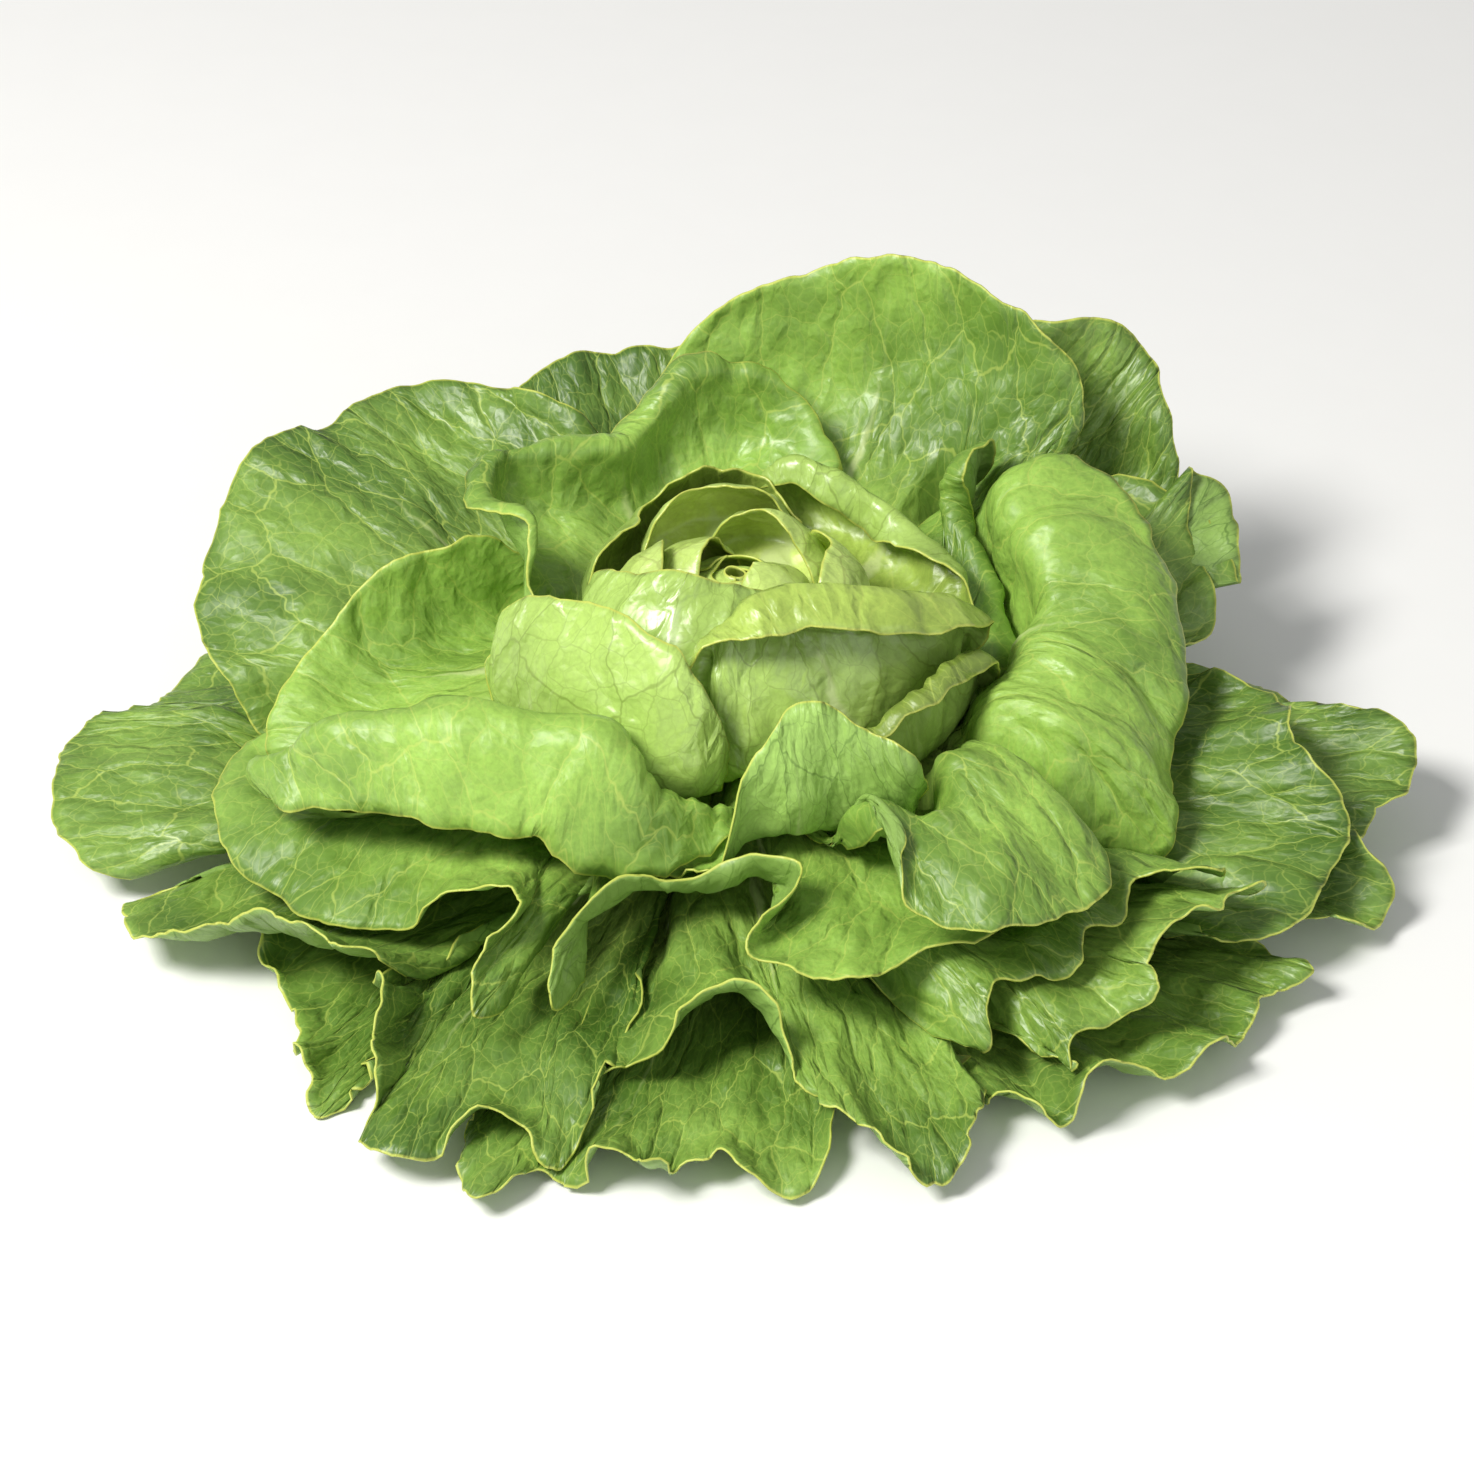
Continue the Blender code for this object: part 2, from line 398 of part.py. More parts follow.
def main():
    for obj in list(bpy.data.objects):
        bpy.data.objects.remove(obj)
    lettuce = bpy.data.collections.new("butterhead_lettuce")
    pieces = bpy.data.collections.new("heart_pieces")
    bpy.context.scene.collection.children.link(lettuce)
    bpy.context.scene.collection.children.link(pieces)

    stem = turned_solid("stem", STEM_OUTLINE, lettuce)
    coloured(stem, STEM_COLOUR, 0.6)

    lowest = np.full((AZIMUTH_CELLS, REACH_CELLS), 90.0)
    made_heart(lettuce, pieces, lowest)
    colours = {"wrapper": WRAPPER_COLOUR, "middle": MIDDLE_COLOUR, "outer": OUTER_COLOUR}
    for leaf in LEAVES:
        columns = int(COLUMNS_PER_KNOT * (len(leaf["rim"]) - 1))
        columns = min(max(columns, LEAST_COLUMNS), MOST_COLUMNS)
        azimuth, reach, rise = spread(leaf, columns, LEAF_ROWS, LEAF_ROOT)
        rise = bent_clear(azimuth, reach, rise, lowest, leaf.get("low", TABLE_CLEARANCE))
        points = from_pivot(azimuth, reach, rise)
        if "lip" in leaf:
            points = with_lip(points, leaf["lip"])
        note_low_points(lowest, points)
        obj = sheet_solid(leaf["name"], points, LEAF_THICKNESS)
        lettuce.objects.link(obj)
        coloured(obj, colours[leaf["name"].split("_")[0]], 0.5)


main()
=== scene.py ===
"""Butterhead lettuce: the dressed leaves, heart and cut stem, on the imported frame.

Lengths in this file are millimetres unless a name says otherwise, and angles are degrees.
Leaf points are given about a pivot inside the stem by azimuth (0 front, 90 right), reach
and rise above the horizontal, as the frame's leaves are.
"""
import math
from types import SimpleNamespace

import bpy
import numpy as np
from bpy.props import FloatProperty, FloatVectorProperty, PointerProperty
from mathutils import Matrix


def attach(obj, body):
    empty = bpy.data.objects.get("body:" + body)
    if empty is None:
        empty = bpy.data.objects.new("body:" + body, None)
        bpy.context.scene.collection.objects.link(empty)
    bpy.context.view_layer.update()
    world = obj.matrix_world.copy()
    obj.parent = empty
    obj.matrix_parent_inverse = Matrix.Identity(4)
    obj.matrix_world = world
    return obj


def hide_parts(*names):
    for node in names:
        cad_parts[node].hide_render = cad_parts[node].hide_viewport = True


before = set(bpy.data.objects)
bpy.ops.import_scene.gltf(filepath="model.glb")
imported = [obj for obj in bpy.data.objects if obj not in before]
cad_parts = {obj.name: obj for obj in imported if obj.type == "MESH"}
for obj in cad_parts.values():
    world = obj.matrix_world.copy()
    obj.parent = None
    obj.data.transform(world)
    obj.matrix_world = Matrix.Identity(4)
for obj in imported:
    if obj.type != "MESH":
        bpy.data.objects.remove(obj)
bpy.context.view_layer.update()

bl_info = {
    "name": "Butterhead lettuce",
    "version": (1, 0, 0),
    "blender": (4, 5, 0),
    "location": "3D View > Sidebar > Lettuce",
    "description": "Leaves, heart and stem of a butterhead lettuce",
    "category": "Add Mesh",
}

MM = 0.001
BODY = "root"

# One unit of the flat leaf's UV map, in millimetres
UV_UNIT = 100

# Sizes that the frame's leaves share
PIVOT_HEIGHT = 22.0
LEAF_ROOT = 19.0
LEAF_GAP = 2.4
TABLE_CLEARANCE = 1.4
TABLE_WAVE, WAVE_REACH = 0.6, 8.0
STRAIGHT_SHARE, EASED_SHARE = 0.45, 0.55

# A lip's rows, the share of its width that rolls, its least width, how far into the turn its first row
# is, and the rounds that even its directions
LIP_ROWS, ROLL_SHARE, LEAST_LIP, TURN_LEAD, LIP_SOFT = 3, 0.5, 0.6, 0.7, 30

# Grid on which a leaf is bent clear of the ones above it, rounds of bending, and rounds that soften
# each; bending ends when less than BEND_LEAST is left
BEND_COLUMNS, BEND_ROWS, BEND_ROUNDS, BEND_SOFT = 90, 30, 3, 8
BEND_LEAST = 0.05
STRAIGHT_UP = 90.0
HEART_GRID = 40, 16

# Rows and columns of the fine grids
BLADE_ROWS, SMALL_ROWS = 44, 30
LEAST_COLUMNS, MOST_COLUMNS = 60, 230
WIND_COLUMNS = 60

# Noise on a blade: sizes of a wide wave and of a finer one, across the leaf and outwards, the finer
# one's shift and share of the height, and how far from the margin each form fades
FLUTE_WAVES = (13, 1), (6.5, 1), (7, 0)
FOLD_WAVES = (11, 30), (5, 14), (9, 0)
SWELL_WAVE, FINE_SWELL_WAVE, FINE_SWELL = (15, 19), (8, 9), 0.3
BLISTER_WAVE = 3.6, 4.2
NOTCH_WAVES = (6, 1), (2.6, 1), (0, 3)
FINER_SHARE = 0.4
LATTICE = 64
FOLD_FADE, SWELL_FADE, NOTCH_FADE, THIN_FADE = 9, 8, 6, 4
RIB_HALF_WIDTH, RIB_SPREAD = 1.5, 2.5
SMALL_FRILL, SMALL_SWELL = 0.5, 0.4

# Least heights above the table, of a middle surface and of an underside
LEAST_MIDDLE, LEAST_UNDER = 0.9, 0.35

# First seeds of the noise and the step from one leaf to the next
LEAF_SEED, HEART_SEED, WIND_SEED, SEED_STEP = 100, 500, 700, 10

# Side of the growing tip from the top down as radius and height, and the leaves wound in it: each
# one's share of the radius and the angle at which it starts
CORE_SIDE = [(6.0, 61.0), (11.0, 58.0), (12.6, 53.0), (11.4, 48.0), (9.2, 43.5), (7.4, 40.4)]
CORE_WINDS = [(0.95, 200), (0.66, 60), (0.36, 300)]
CORE_TURNS = 1.15
CORE_TIGHTER = 0.12

# Map of how low the leaves made so far reach: cells of azimuth in degrees and of reach
AZIMUTH_CELL, REACH_CELL, FIRST_REACH = 1.5, 1.6, 15.0
AZIMUTH_CELLS, REACH_CELLS = 240, 90

# Where the heart's leaves start, as LEAF_ROOT for the others
HEART_ROOT = 26.0


def entry(name, azimuth, lift, clasp, bowl, tone, **more):
    """One leaf's row of the tables below."""
    return dict(name=name, azimuth=azimuth, lift=lift, clasp=clasp, bowl=bowl, tone=tone, **more)


# Each leaf has its name, azimuth, lift, clasp, bowl and tone, and then by name what else it has.
# Rim knots are (azimuth, reach, rise). clasp is half the angle that the root takes round the
# stem, lift is the rise there, bowl makes a leaf leave low and turn up late, arch bows it up.
# low is the least height of its middle surface above the table, where others lie under it.
# A lip is a strip beyond the rim that turns outwards, or inwards where the turn is negative: its width
# and turn at even steps.
# tone is how light a leaf is: partly its own green and partly painted light and shade, set for how brightly
# it is lit. flute is how deep its outward folds are in millimetres, and frill and swell are shares of how far
# the margin waves and the blade bulges.
HEART_LEAVES = [
    entry("heart", 70, 72, 60, 1.0, 1.0, arch=-8,
          rim=[(-10, 34, 78), (20, 41, 84), (75, 43, 85), (120, 41, 84), (155, 34, 78)]),
    entry("heart", -115, 70, 50, 1.0, 0.8, arch=-10,
          rim=[(-185, 34, 72), (-160, 43, 79), (-125, 45, 81), (-85, 43, 80), (-50, 35, 72)]),
    entry("heart", 150, 66, 44, 1.1, 0.9, arch=-12,
          rim=[(95, 36, 62), (115, 45, 71), (140, 48, 75), (170, 47, 73), (192, 45, 72), (210, 36, 62)]),
    entry("heart", 15, 64, 42, 1.2, 1.0, arch=-16,
          rim=[(-25, 34, 60), (-8, 41, 70), (14, 43, 75), (38, 42, 71), (58, 35, 60)]),
    entry("heart", -75, 62, 40, 1.1, 0.7, arch=-12,
          rim=[(-128, 38, 60), (-108, 46, 69), (-88, 47, 71), (-66, 45, 68), (-46, 44, 66), (-28, 36, 58)]),
    entry("heart", 85, 60, 42, 1.1, 0.8, arch=-12,
          rim=[(38, 36, 56), (58, 46, 64), (80, 49, 67), (102, 49, 65), (122, 47, 65), (140, 38, 56)]),
    entry("heart", 190, 60, 40, 1.1, 0.6, arch=-12,
          rim=[(143, 40, 56), (160, 51, 64), (182, 53, 67), (204, 52, 64), (224, 50, 65), (242, 40, 56)]),
    entry("heart", -35, 60, 40, 1.1, 0.9, arch=-12,
          rim=[(-84, 38, 54), (-66, 46, 61), (-45, 47, 66), (-22, 45, 66), (-4, 44, 63), (10, 36, 56)]),
]

LEAVES = [
    entry("wrapper_leaf_01", -10, 54, 40, 1.2, 0.6, arch=-16,
          rim=[(-95, 36, 46), (-80, 53, 55), (-56, 55, 63), (-25, 53, 69), (18, 49, 71), (58, 42, 66),
               (85, 30, 52)]),
    entry("wrapper_leaf_02", -150, 50, 40, 1.2, 0.2, arch=-14,
          rim=[(-78, 40, 40), (-100, 50, 54), (-130, 50, 58), (-158, 54, 56), (-172, 56, 53), (-190, 53, 50),
               (-210, 46, 48)]),
    entry("wrapper_leaf_03", 125, 46, 38, 1.2, 0.6, arch=-14,
          rim=[(94, 40, 20), (100, 54, 27), (108, 57, 31), (123, 57, 37), (142, 59, 44), (160, 60, 48),
               (172, 55, 46), (185, 46, 42)],
          lip=[(0, -40), (6, -100), (9, -130), (10, -140), (11, -140), (9, -130), (5, -90), (0, -40)]),
    entry("wrapper_leaf_04", 34, 42, 42, 1.5, 0.7, arch=-22, swell=1.3,
          rim=[(-12, 40, 32), (-10, 51, 46), (-6, 54, 54), (6, 55, 59), (29, 55, 60), (52, 56, 54),
               (72, 58, 42), (86, 56, 29), (90, 44, 14)],
          lip=[(0, 60), (6, 120), (11, 150), (15, 165), (17, 165), (18, 160), (15, 150), (7, 90), (0, 60)]),
    entry("wrapper_leaf_05", -42, 38, 36, 1.6, 0.8, arch=-22, swell=1.3,
          rim=[(-62, 55, 8), (-69, 62, 25), (-71, 65, 34), (-68, 67, 42), (-56, 66, 48), (-37, 65, 51),
               (-18, 63, 48), (-8, 59, 41), (-2, 54, 30)]),
    entry("wrapper_leaf_06", 50, 34, 34, 1.5, 0.2, arch=-20,
          rim=[(8, 46, 20), (22, 56, 27), (34, 58, 29), (46, 60, 31), (58, 61, 33), (72, 59, 28),
               (84, 52, 14)],
          lip=[(0, 40), (3, 80), (5, 110), (6, 120), (8, 130), (8, 120), (0, 40)]),
    entry("middle_leaf_01", 100, 34, 32, 1.2, 0.5, arch=-10,
          rim=[(80, 54, 4), (88, 62, 11), (98, 63, 17), (110, 64, 23), (121, 65, 28), (129, 67, 31),
               (131, 74, 32), (132, 82, 30), (134, 82, 22), (138, 74, 16)],
          lip=[(0, 30), (4, 60), (7, 90), (8, 100), (8, 100), (8, 90), (6, 70), (3, 50), (0, 30)]),
    entry("middle_leaf_02", -150, 36, 38, 0.9, 0.55, arch=-8, flute=1.5, swell=1.3,
          rim=[(-82, 50, 32), (-103, 62, 44), (-112, 73, 36), (-122, 77, 37), (-135, 71, 39), (-150, 66, 39),
               (-161, 71, 38), (-169, 80, 38), (-179, 82, 37), (-190, 80, 33), (-203, 66, 28)],
          lip=[(0, 40), (4, 90), (8, 130), (10, 140), (10, 140), (8, 120), (4, 90), (2, 60), (0, 40)]),
    entry("middle_leaf_03", -90, 24, 34, 1.1, 0.6, arch=-16, flute=1.5,
          rim=[(-64, 60, 6), (-75, 92, -2), (-81, 103, 1), (-86, 102, 5), (-91, 96, 10), (-96, 91, 15),
               (-102, 83, 21), (-107, 76, 25), (-114, 69, 28), (-122, 58, 24)]),
    entry("middle_leaf_04", -40, 22, 30, 1.6, 0.6, arch=-14, swell=1.9,
          rim=[(-70, 62, 6), (-71, 88, 4), (-71, 106, 5), (-70, 106, 8), (-67, 99, 13), (-61, 87, 20),
               (-50, 74, 25), (-36, 67, 28), (-22, 61, 29), (-10, 57, 26), (-2, 52, 20)],
          lip=[(0, 40), (0, 60), (4, 90), (13, 130), (24, 150), (32, 160), (36, 165), (36, 165), (32, 160),
               (20, 150), (6, 110)]),
    entry("middle_leaf_05", 14, 22, 32, 1.6, 0.8, arch=-13, swell=1.4,
          rim=[(-18, 60, 8), (-17, 64, 15), (-8, 65, 18), (-1, 66, 23), (8, 68, 34), (15, 69, 38),
               (22, 69, 35), (28, 71, 30), (33, 74, 25), (40, 62, 12)]),
    entry("middle_leaf_06", 38, 16, 30, 0.2, 0.4, arch=7, swell=1.7,
          rim=[(20, 66, 10), (24, 86, 18), (22, 94, 15), (22, 102, 11), (26, 109, 9), (32, 113, 8),
               (37, 113, 8), (43, 112, 8), (49, 98, 8), (54, 70, 6)]),
    entry("middle_leaf_07", 84, 8, 36, 0.25, 0.8, arch=17, low=14.5, flute=1.5, swell=1.9,
          rim=[(56, 60, 0), (60, 90, -2), (64, 102, -2), (67, 102, 2), (74, 99, 6), (81, 100, 9),
               (89, 100, 13), (98, 100, 18), (109, 98, 23), (118, 96, 28), (124, 86, 26), (130, 60, 20)]),
    entry("middle_leaf_08", 156, 26, 40, 0.5, 0.4, arch=-6, flute=1.5, swell=1.4,
          rim=[(216, 60, 20), (200, 78, 26), (190, 92, 31), (180, 102, 36), (169, 106, 38), (156, 111, 40),
               (146, 114, 39), (135, 112, 34), (128, 110, 27), (128, 96, 18), (130, 64, 12)]),
    entry("middle_leaf_09", 5, 6, 34, 1.2, 0.3, arch=-3,
          rim=[(-20, 88, -5), (-22, 102, -3), (-23, 96, 2), (-19, 80, 8), (-9, 70, 11), (2, 70, 12),
               (9, 78, 11), (2, 92, 7), (6, 98, 4), (13, 101, 3), (22, 98, 3), (34, 96, 1), (44, 74, -4)]),
    entry("middle_leaf_10", -54, 4, 32, 0.9, 0.4, arch=-1, flute=2,
          rim=[(-94, 70, 0), (-88, 104, -1), (-76, 116, -2), (-67, 117, -2), (-60, 112, -3), (-52, 110, -3),
               (-46, 104, -1), (-39, 98, 4), (-32, 93, 7), (-28, 94, 7), (-30, 105, 3), (-28, 113, -1),
               (-28, 102, -4), (-32, 74, -6)]),
    entry("outer_leaf_01", 108, 6, 30, 0.2, 0.5, flute=3, frill=1.4,
          rim=[(88, 66, 0), (97, 100, 4), (103, 110, 4), (109, 114, 7), (114, 114, 10), (118, 121, 13),
               (115, 126, 10), (111, 122, 8), (108, 120, 6), (118, 118, 12), (128, 104, 12), (134, 66, 8)]),
    entry("outer_leaf_02", 138, 2, 34, 0.3, 0.4, flute=2,
          rim=[(172, 60, 10), (150, 98, 28), (139, 117, 28), (134, 129, 24), (130, 131, 20), (126, 127, 18),
               (122, 122, 15), (120, 112, 11), (118, 90, 5), (112, 60, 0)]),
    entry("outer_leaf_03", -120, 8, 36, 0.1, 0.4, arch=2, flute=2,
          rim=[(-166, 60, 14), (-152, 90, 22), (-146, 104, 19), (-140, 117, 17), (-134, 123, 16),
               (-128, 125, 15), (-121, 131, 14), (-111, 129, 11), (-100, 123, 6), (-93, 112, 2),
               (-88, 96, -3), (-84, 66, -4)]),
    entry("outer_leaf_04", -168, 2, 34, 0.1, 0.1, flute=3,
          rim=[(-138, 60, 2), (-143, 98, 11), (-150, 109, 16), (-156, 112, 18), (-162, 112, 18),
               (-169, 111, 18), (-176, 109, 18), (-186, 106, 16), (-196, 94, 10), (-206, 60, 4)]),
    entry("outer_leaf_05", 42, 2, 30, 0.7, 0.4, low=11, flute=2, frill=1.3,
          rim=[(18, 76, -8), (24, 108, -8), (27, 115, -5), (28, 110, -2), (31, 106, 0), (36, 110, -1),
               (39, 113, 1), (42, 108, 3), (46, 112, 4), (50, 108, 6), (54, 117, 6), (58, 121, 3),
               (62, 108, 0), (66, 76, -6)]),
    entry("outer_leaf_17", 44, -2, 18, 0.8, 0.6, low=9, flute=2, frill=1.3,
          rim=[(30, 80, -8), (31, 112, -9), (33, 128, -7), (34, 124, -3), (38, 125, -2), (42, 129, 0),
               (43, 122, 2), (47, 121, 3), (52, 126, 3), (56, 124, 4), (59, 128, 1), (60, 112, -3),
               (58, 80, -8)]),
    entry("outer_leaf_06", 76, -4, 34, 0.3, 0.1, low=6.5, flute=3,
          rim=[(52, 80, -5), (55, 112, -4), (57, 127, -3), (61, 135, -2), (67, 136, -1), (72, 137, 1),
               (75, 131, 3), (80, 123, 4), (86, 120, 5), (91, 114, 5), (96, 98, 3), (102, 66, 0)]),
    entry("outer_leaf_07", -88, -6, 34, 0.1, 0.4, arch=3, low=5.5, flute=3,
          rim=[(-70, 70, -7), (-74, 112, -6), (-74, 141, -6), (-79, 150, -5), (-86, 151, -4), (-92, 148, -3),
               (-95, 142, -3), (-97, 133, -3), (-102, 131, -4), (-108, 124, -5), (-113, 104, -5),
               (-118, 70, -4)]),
    entry("outer_leaf_08", -60, -8, 26, 1, 0.5, low=3.2, flute=3, frill=1.2,
          rim=[(-74, 70, -10), (-71, 134, -6), (-67, 142, -5), (-61, 141, -4), (-58, 132, -1), (-55, 128, 2),
               (-51, 123, 4), (-46, 119, 3), (-43, 117, 2), (-40, 108, -3), (-40, 76, -8)]),
    entry("outer_leaf_09", -36, -12, 18, 0.8, 0.3, low=7.7, flute=4, frill=1.6,
          rim=[(-44, 70, -9), (-43, 104, -2), (-40, 116, 0), (-37, 120, 0), (-36, 130, -3), (-33, 134, -4),
               (-31, 147, -7), (-27, 148, -7), (-24, 138, -4), (-19, 131, -4), (-16, 136, -6), (-14, 122, -7),
               (-14, 98, -9), (-16, 70, -13)]),
    entry("outer_leaf_10", 4, -6, 24, 0.8, 0.5, low=6.5, flute=5, frill=1.6,
          rim=[(-22, 76, -12), (-18, 111, -5), (-13, 108, -1), (-5, 104, 1), (0, 104, 1), (5, 109, -1),
               (7, 117, -3), (10, 128, -4), (13, 138, -6), (17, 141, -6), (21, 133, -6), (24, 120, -6),
               (24, 76, -10)]),
    entry("outer_leaf_11", 86, -14, 22, 0.2, 0.4, arch=2, low=4, flute=4, frill=1.4,
          rim=[(68, 76, -10), (65, 131, -5), (67, 144, -5), (71, 148, -5), (74, 139, -3), (78, 139, -2),
               (82, 148, -2), (87, 149, -1), (91, 142, -1), (96, 126, -2), (106, 112, -4), (116, 72, -8)]),
    entry("outer_leaf_12", -8, -26, 17, 0.3, 0.4, low=4, flute=6, frill=1.8,
          rim=[(-24, 76, -12), (-25, 118, -6), (-25, 130, -5), (-23, 141, -6), (-20, 151, -7), (-17, 137, -6),
               (-14, 137, -6), (-10, 138, -6), (-7, 140, -7), (-3, 130, -7), (1, 136, -7), (6, 136, -7),
               (9, 124, -8), (14, 76, -12)]),
    entry("outer_leaf_13", 46, -20, 20, 0.2, 0.3, flute=5, frill=1.5,
          rim=[(27, 76, -12), (25, 118, -8), (27, 132, -7), (30, 137, -7), (35, 134, -5), (40, 139, -6),
               (45, 140, -4), (49, 139, -6), (53, 137, -4), (56, 138, -5), (59, 140, -4), (61, 132, -6),
               (61, 108, -9), (61, 76, -13)]),
    entry("outer_leaf_14", -52, -26, 14, 0.3, 0.3, flute=5, frill=1.8,
          rim=[(-62, 76, -12), (-62, 108, -9), (-58, 120, -8), (-52, 121, -7), (-46, 126, -7), (-43, 134, -7),
               (-40, 137, -8), (-38, 142, -8), (-37, 136, -8), (-38, 118, -10), (-40, 76, -12)]),
    entry("outer_leaf_15", -140, -16, 34, 0.1, 0.2, arch=3, flute=5,
          rim=[(-180, 76, -8), (-166, 114, -5), (-152, 124, -4), (-138, 128, -3), (-124, 130, -5),
               (-114, 124, -6), (-104, 112, -7), (-98, 76, -10)]),
    entry("outer_leaf_16", 152, -16, 34, 0.1, 0.2, arch=3, flute=5,
          rim=[(112, 76, -8), (122, 118, -5), (134, 128, -5), (148, 126, -3), (162, 128, -4), (174, 122, -4),
               (184, 110, -6), (192, 76, -10)]),
]

# Properties


def length_property(name, description, default, least=0):
    """A length in metres that the user can change."""
    return FloatProperty(name=name, description=description, default=default, min=least,
                         unit='LENGTH', subtype='DISTANCE')


class LEAF_PG_shape(bpy.types.PropertyGroup):
    """Sizes of the leaves' finer forms."""
    frill: length_property("Frill", "How far a margin waves to either side", 0.0022)
    swell: length_property("Swell", "How far the blade bulges between its folds", 0.0016)
    blister: length_property("Blister", "Height of the small bulges between veins", 0.0005)
    notch: length_property("Notch", "How far the margin is scalloped in and out", 0.0009)
    blade: length_property("Blade", "Thickness of the blade away from the margin", 0.0008)
    margin: length_property("Margin", "Thickness of the blade at its margin", 0.0004)
    rib: length_property("Rib", "Extra thickness of the middle rib at the root", 0.0022)
    spacing: length_property("Spacing", "Distance between grid columns at the rim", 0.0016, 0.0005)


def colour_property(name, description, default):
    """A linear colour that the user can change."""
    return FloatVectorProperty(name=name, description=description, default=default,
                               size=3, min=0, max=1, subtype='COLOR')


class LEAF_PG_colours(bpy.types.PropertyGroup):
    """Colours of the leaves, the margins and the stem."""
    heart: colour_property("Heart", "Inner leaves", (0.62, 0.75, 0.18))
    wrapper: colour_property("Wrapper", "Leaves folded over the heart", (0.38, 0.55, 0.085))
    middle: colour_property("Middle", "Half open leaves", (0.22, 0.43, 0.055))
    outer: colour_property("Outer", "Spread outer leaves", (0.13, 0.285, 0.032))
    under: colour_property("Underside", "What every underside is mixed towards", (0.38, 0.56, 0.145))
    vein: colour_property("Vein", "Veins of the upper face", (0.50, 0.62, 0.12))
    margin: colour_property("Margin", "Thin line along the margin", (0.62, 0.68, 0.12))
    stem: colour_property("Stem", "Skin of the stem", (0.62, 0.70, 0.40))
    cut: colour_property("Cut", "Dried face of the cut stem", (0.55, 0.42, 0.22))


class LEAF_PG_stage(bpy.types.PropertyGroup):
    """Floor and lights."""
    floor: colour_property("Floor", "Colour of the floor", (0.93, 0.93, 0.92))
    key_power: FloatProperty(name="Key", description="Power of the main light", default=21.0, min=0)
    fill_power: FloatProperty(name="Fill", description="Power of the side light", default=2.2, min=0)
    sky: FloatProperty(name="Sky", description="Strength of the light from all round", default=0.34, min=0)


# Shapes on grids


def from_pivot(azimuth, reach, rise):
    """Points from azimuth, reach and rise: the reach turned up by the rise and round by the azimuth."""
    turn, up = np.radians(azimuth), np.radians(rise)
    flat = reach * np.cos(up)
    return np.stack([flat * np.sin(turn), -flat * np.cos(turn), PIVOT_HEIGHT + reach * np.sin(up)], -1)


def about_pivot(points):
    """Azimuth, reach and rise of points, the reverse of from_pivot."""
    x, y, height = points[..., 0], points[..., 1], points[..., 2] - PIVOT_HEIGHT
    flat = np.hypot(x, y)
    return np.degrees(np.arctan2(x, -y)), np.hypot(flat, height), np.degrees(np.arctan2(height, flat))


def through(knots, along):
    """A smooth cubic curve through evenly spaced knots, read at along from 0 to 1."""
    knots = np.asarray(knots, float)
    last = len(knots) - 1
    knots = np.concatenate([2 * knots[:1] - knots[1:2], knots, 2 * knots[-1:] - knots[-2:-1]])
    place = np.clip(along * last, 0, last - 1e-9)
    i = place.astype(int)
    f = (place - i).reshape(place.shape + (1,) * (knots.ndim - 1))
    a, b, c, d = knots[i], knots[i + 1], knots[i + 2], knots[i + 3]
    return 0.5 * (2 * b + (c - a) * f + (2 * a - 5 * b + 4 * c - d) * f**2 + (3 * b - a - 3 * c + d) * f**3)


def spread(leaf, columns, rows, root):
    """Azimuth, reach and rise of a leaf: spokes from its root round the stem to its rim.
    Reach grows as a root of the way out and rise as a power of it, both set by the bowl."""
    along, out = np.meshgrid(np.linspace(0, 1, columns + 1), np.linspace(0, 1, rows + 1), indexing="ij")
    rim = through(leaf["rim"], along)
    bowl = leaf["bowl"]
    side = 1 if leaf["rim"][-1][0] > leaf["rim"][0][0] else -1
    at_root = leaf["azimuth"] + side * leaf["clasp"] * (2 * along - 1)
    ease = out * out * (3 - 2 * out)
    azimuth = at_root + (rim[..., 0] - at_root) * (STRAIGHT_SHARE * out + EASED_SHARE * ease)
    reach = root + (rim[..., 1] - root) * out ** (1 / (1 + bowl))
    rise = leaf["lift"] + (rim[..., 2] - leaf["lift"]) * out ** (1 + 2 * bowl)
    return azimuth, reach, rise + leaf.get("arch", 0) * np.sin(np.pi * out)


def fluted(leaf, azimuth, reach, rise, seed):
    """The rise with folds that run outwards and deepen towards the rim: noise along the rim, growing
    with the square of the way out."""
    walk = lengths(from_pivot(azimuth, reach, rise), 0)[:, -1:]
    out = np.linspace(0, 1, reach.shape[1])[None]
    wave = two_waves(walk, 0 * walk + out, FLUTE_WAVES, seed)
    return rise + np.degrees(leaf.get("flute", 0) * wave * out**2 / reach)


def unit(vectors):
    """Vectors of length one along the given ones."""
    return vectors / np.maximum(np.linalg.norm(vectors, axis=-1, keepdims=True), 1e-9)


def evened(line, rounds):
    """Directions along a line, each averaged with its neighbours over and over."""
    for _ in range(rounds):
        line = np.concatenate([line[:1], (line[:-2] + 2 * line[1:-1] + line[2:]) / 4, line[-1:]])
    return unit(line)


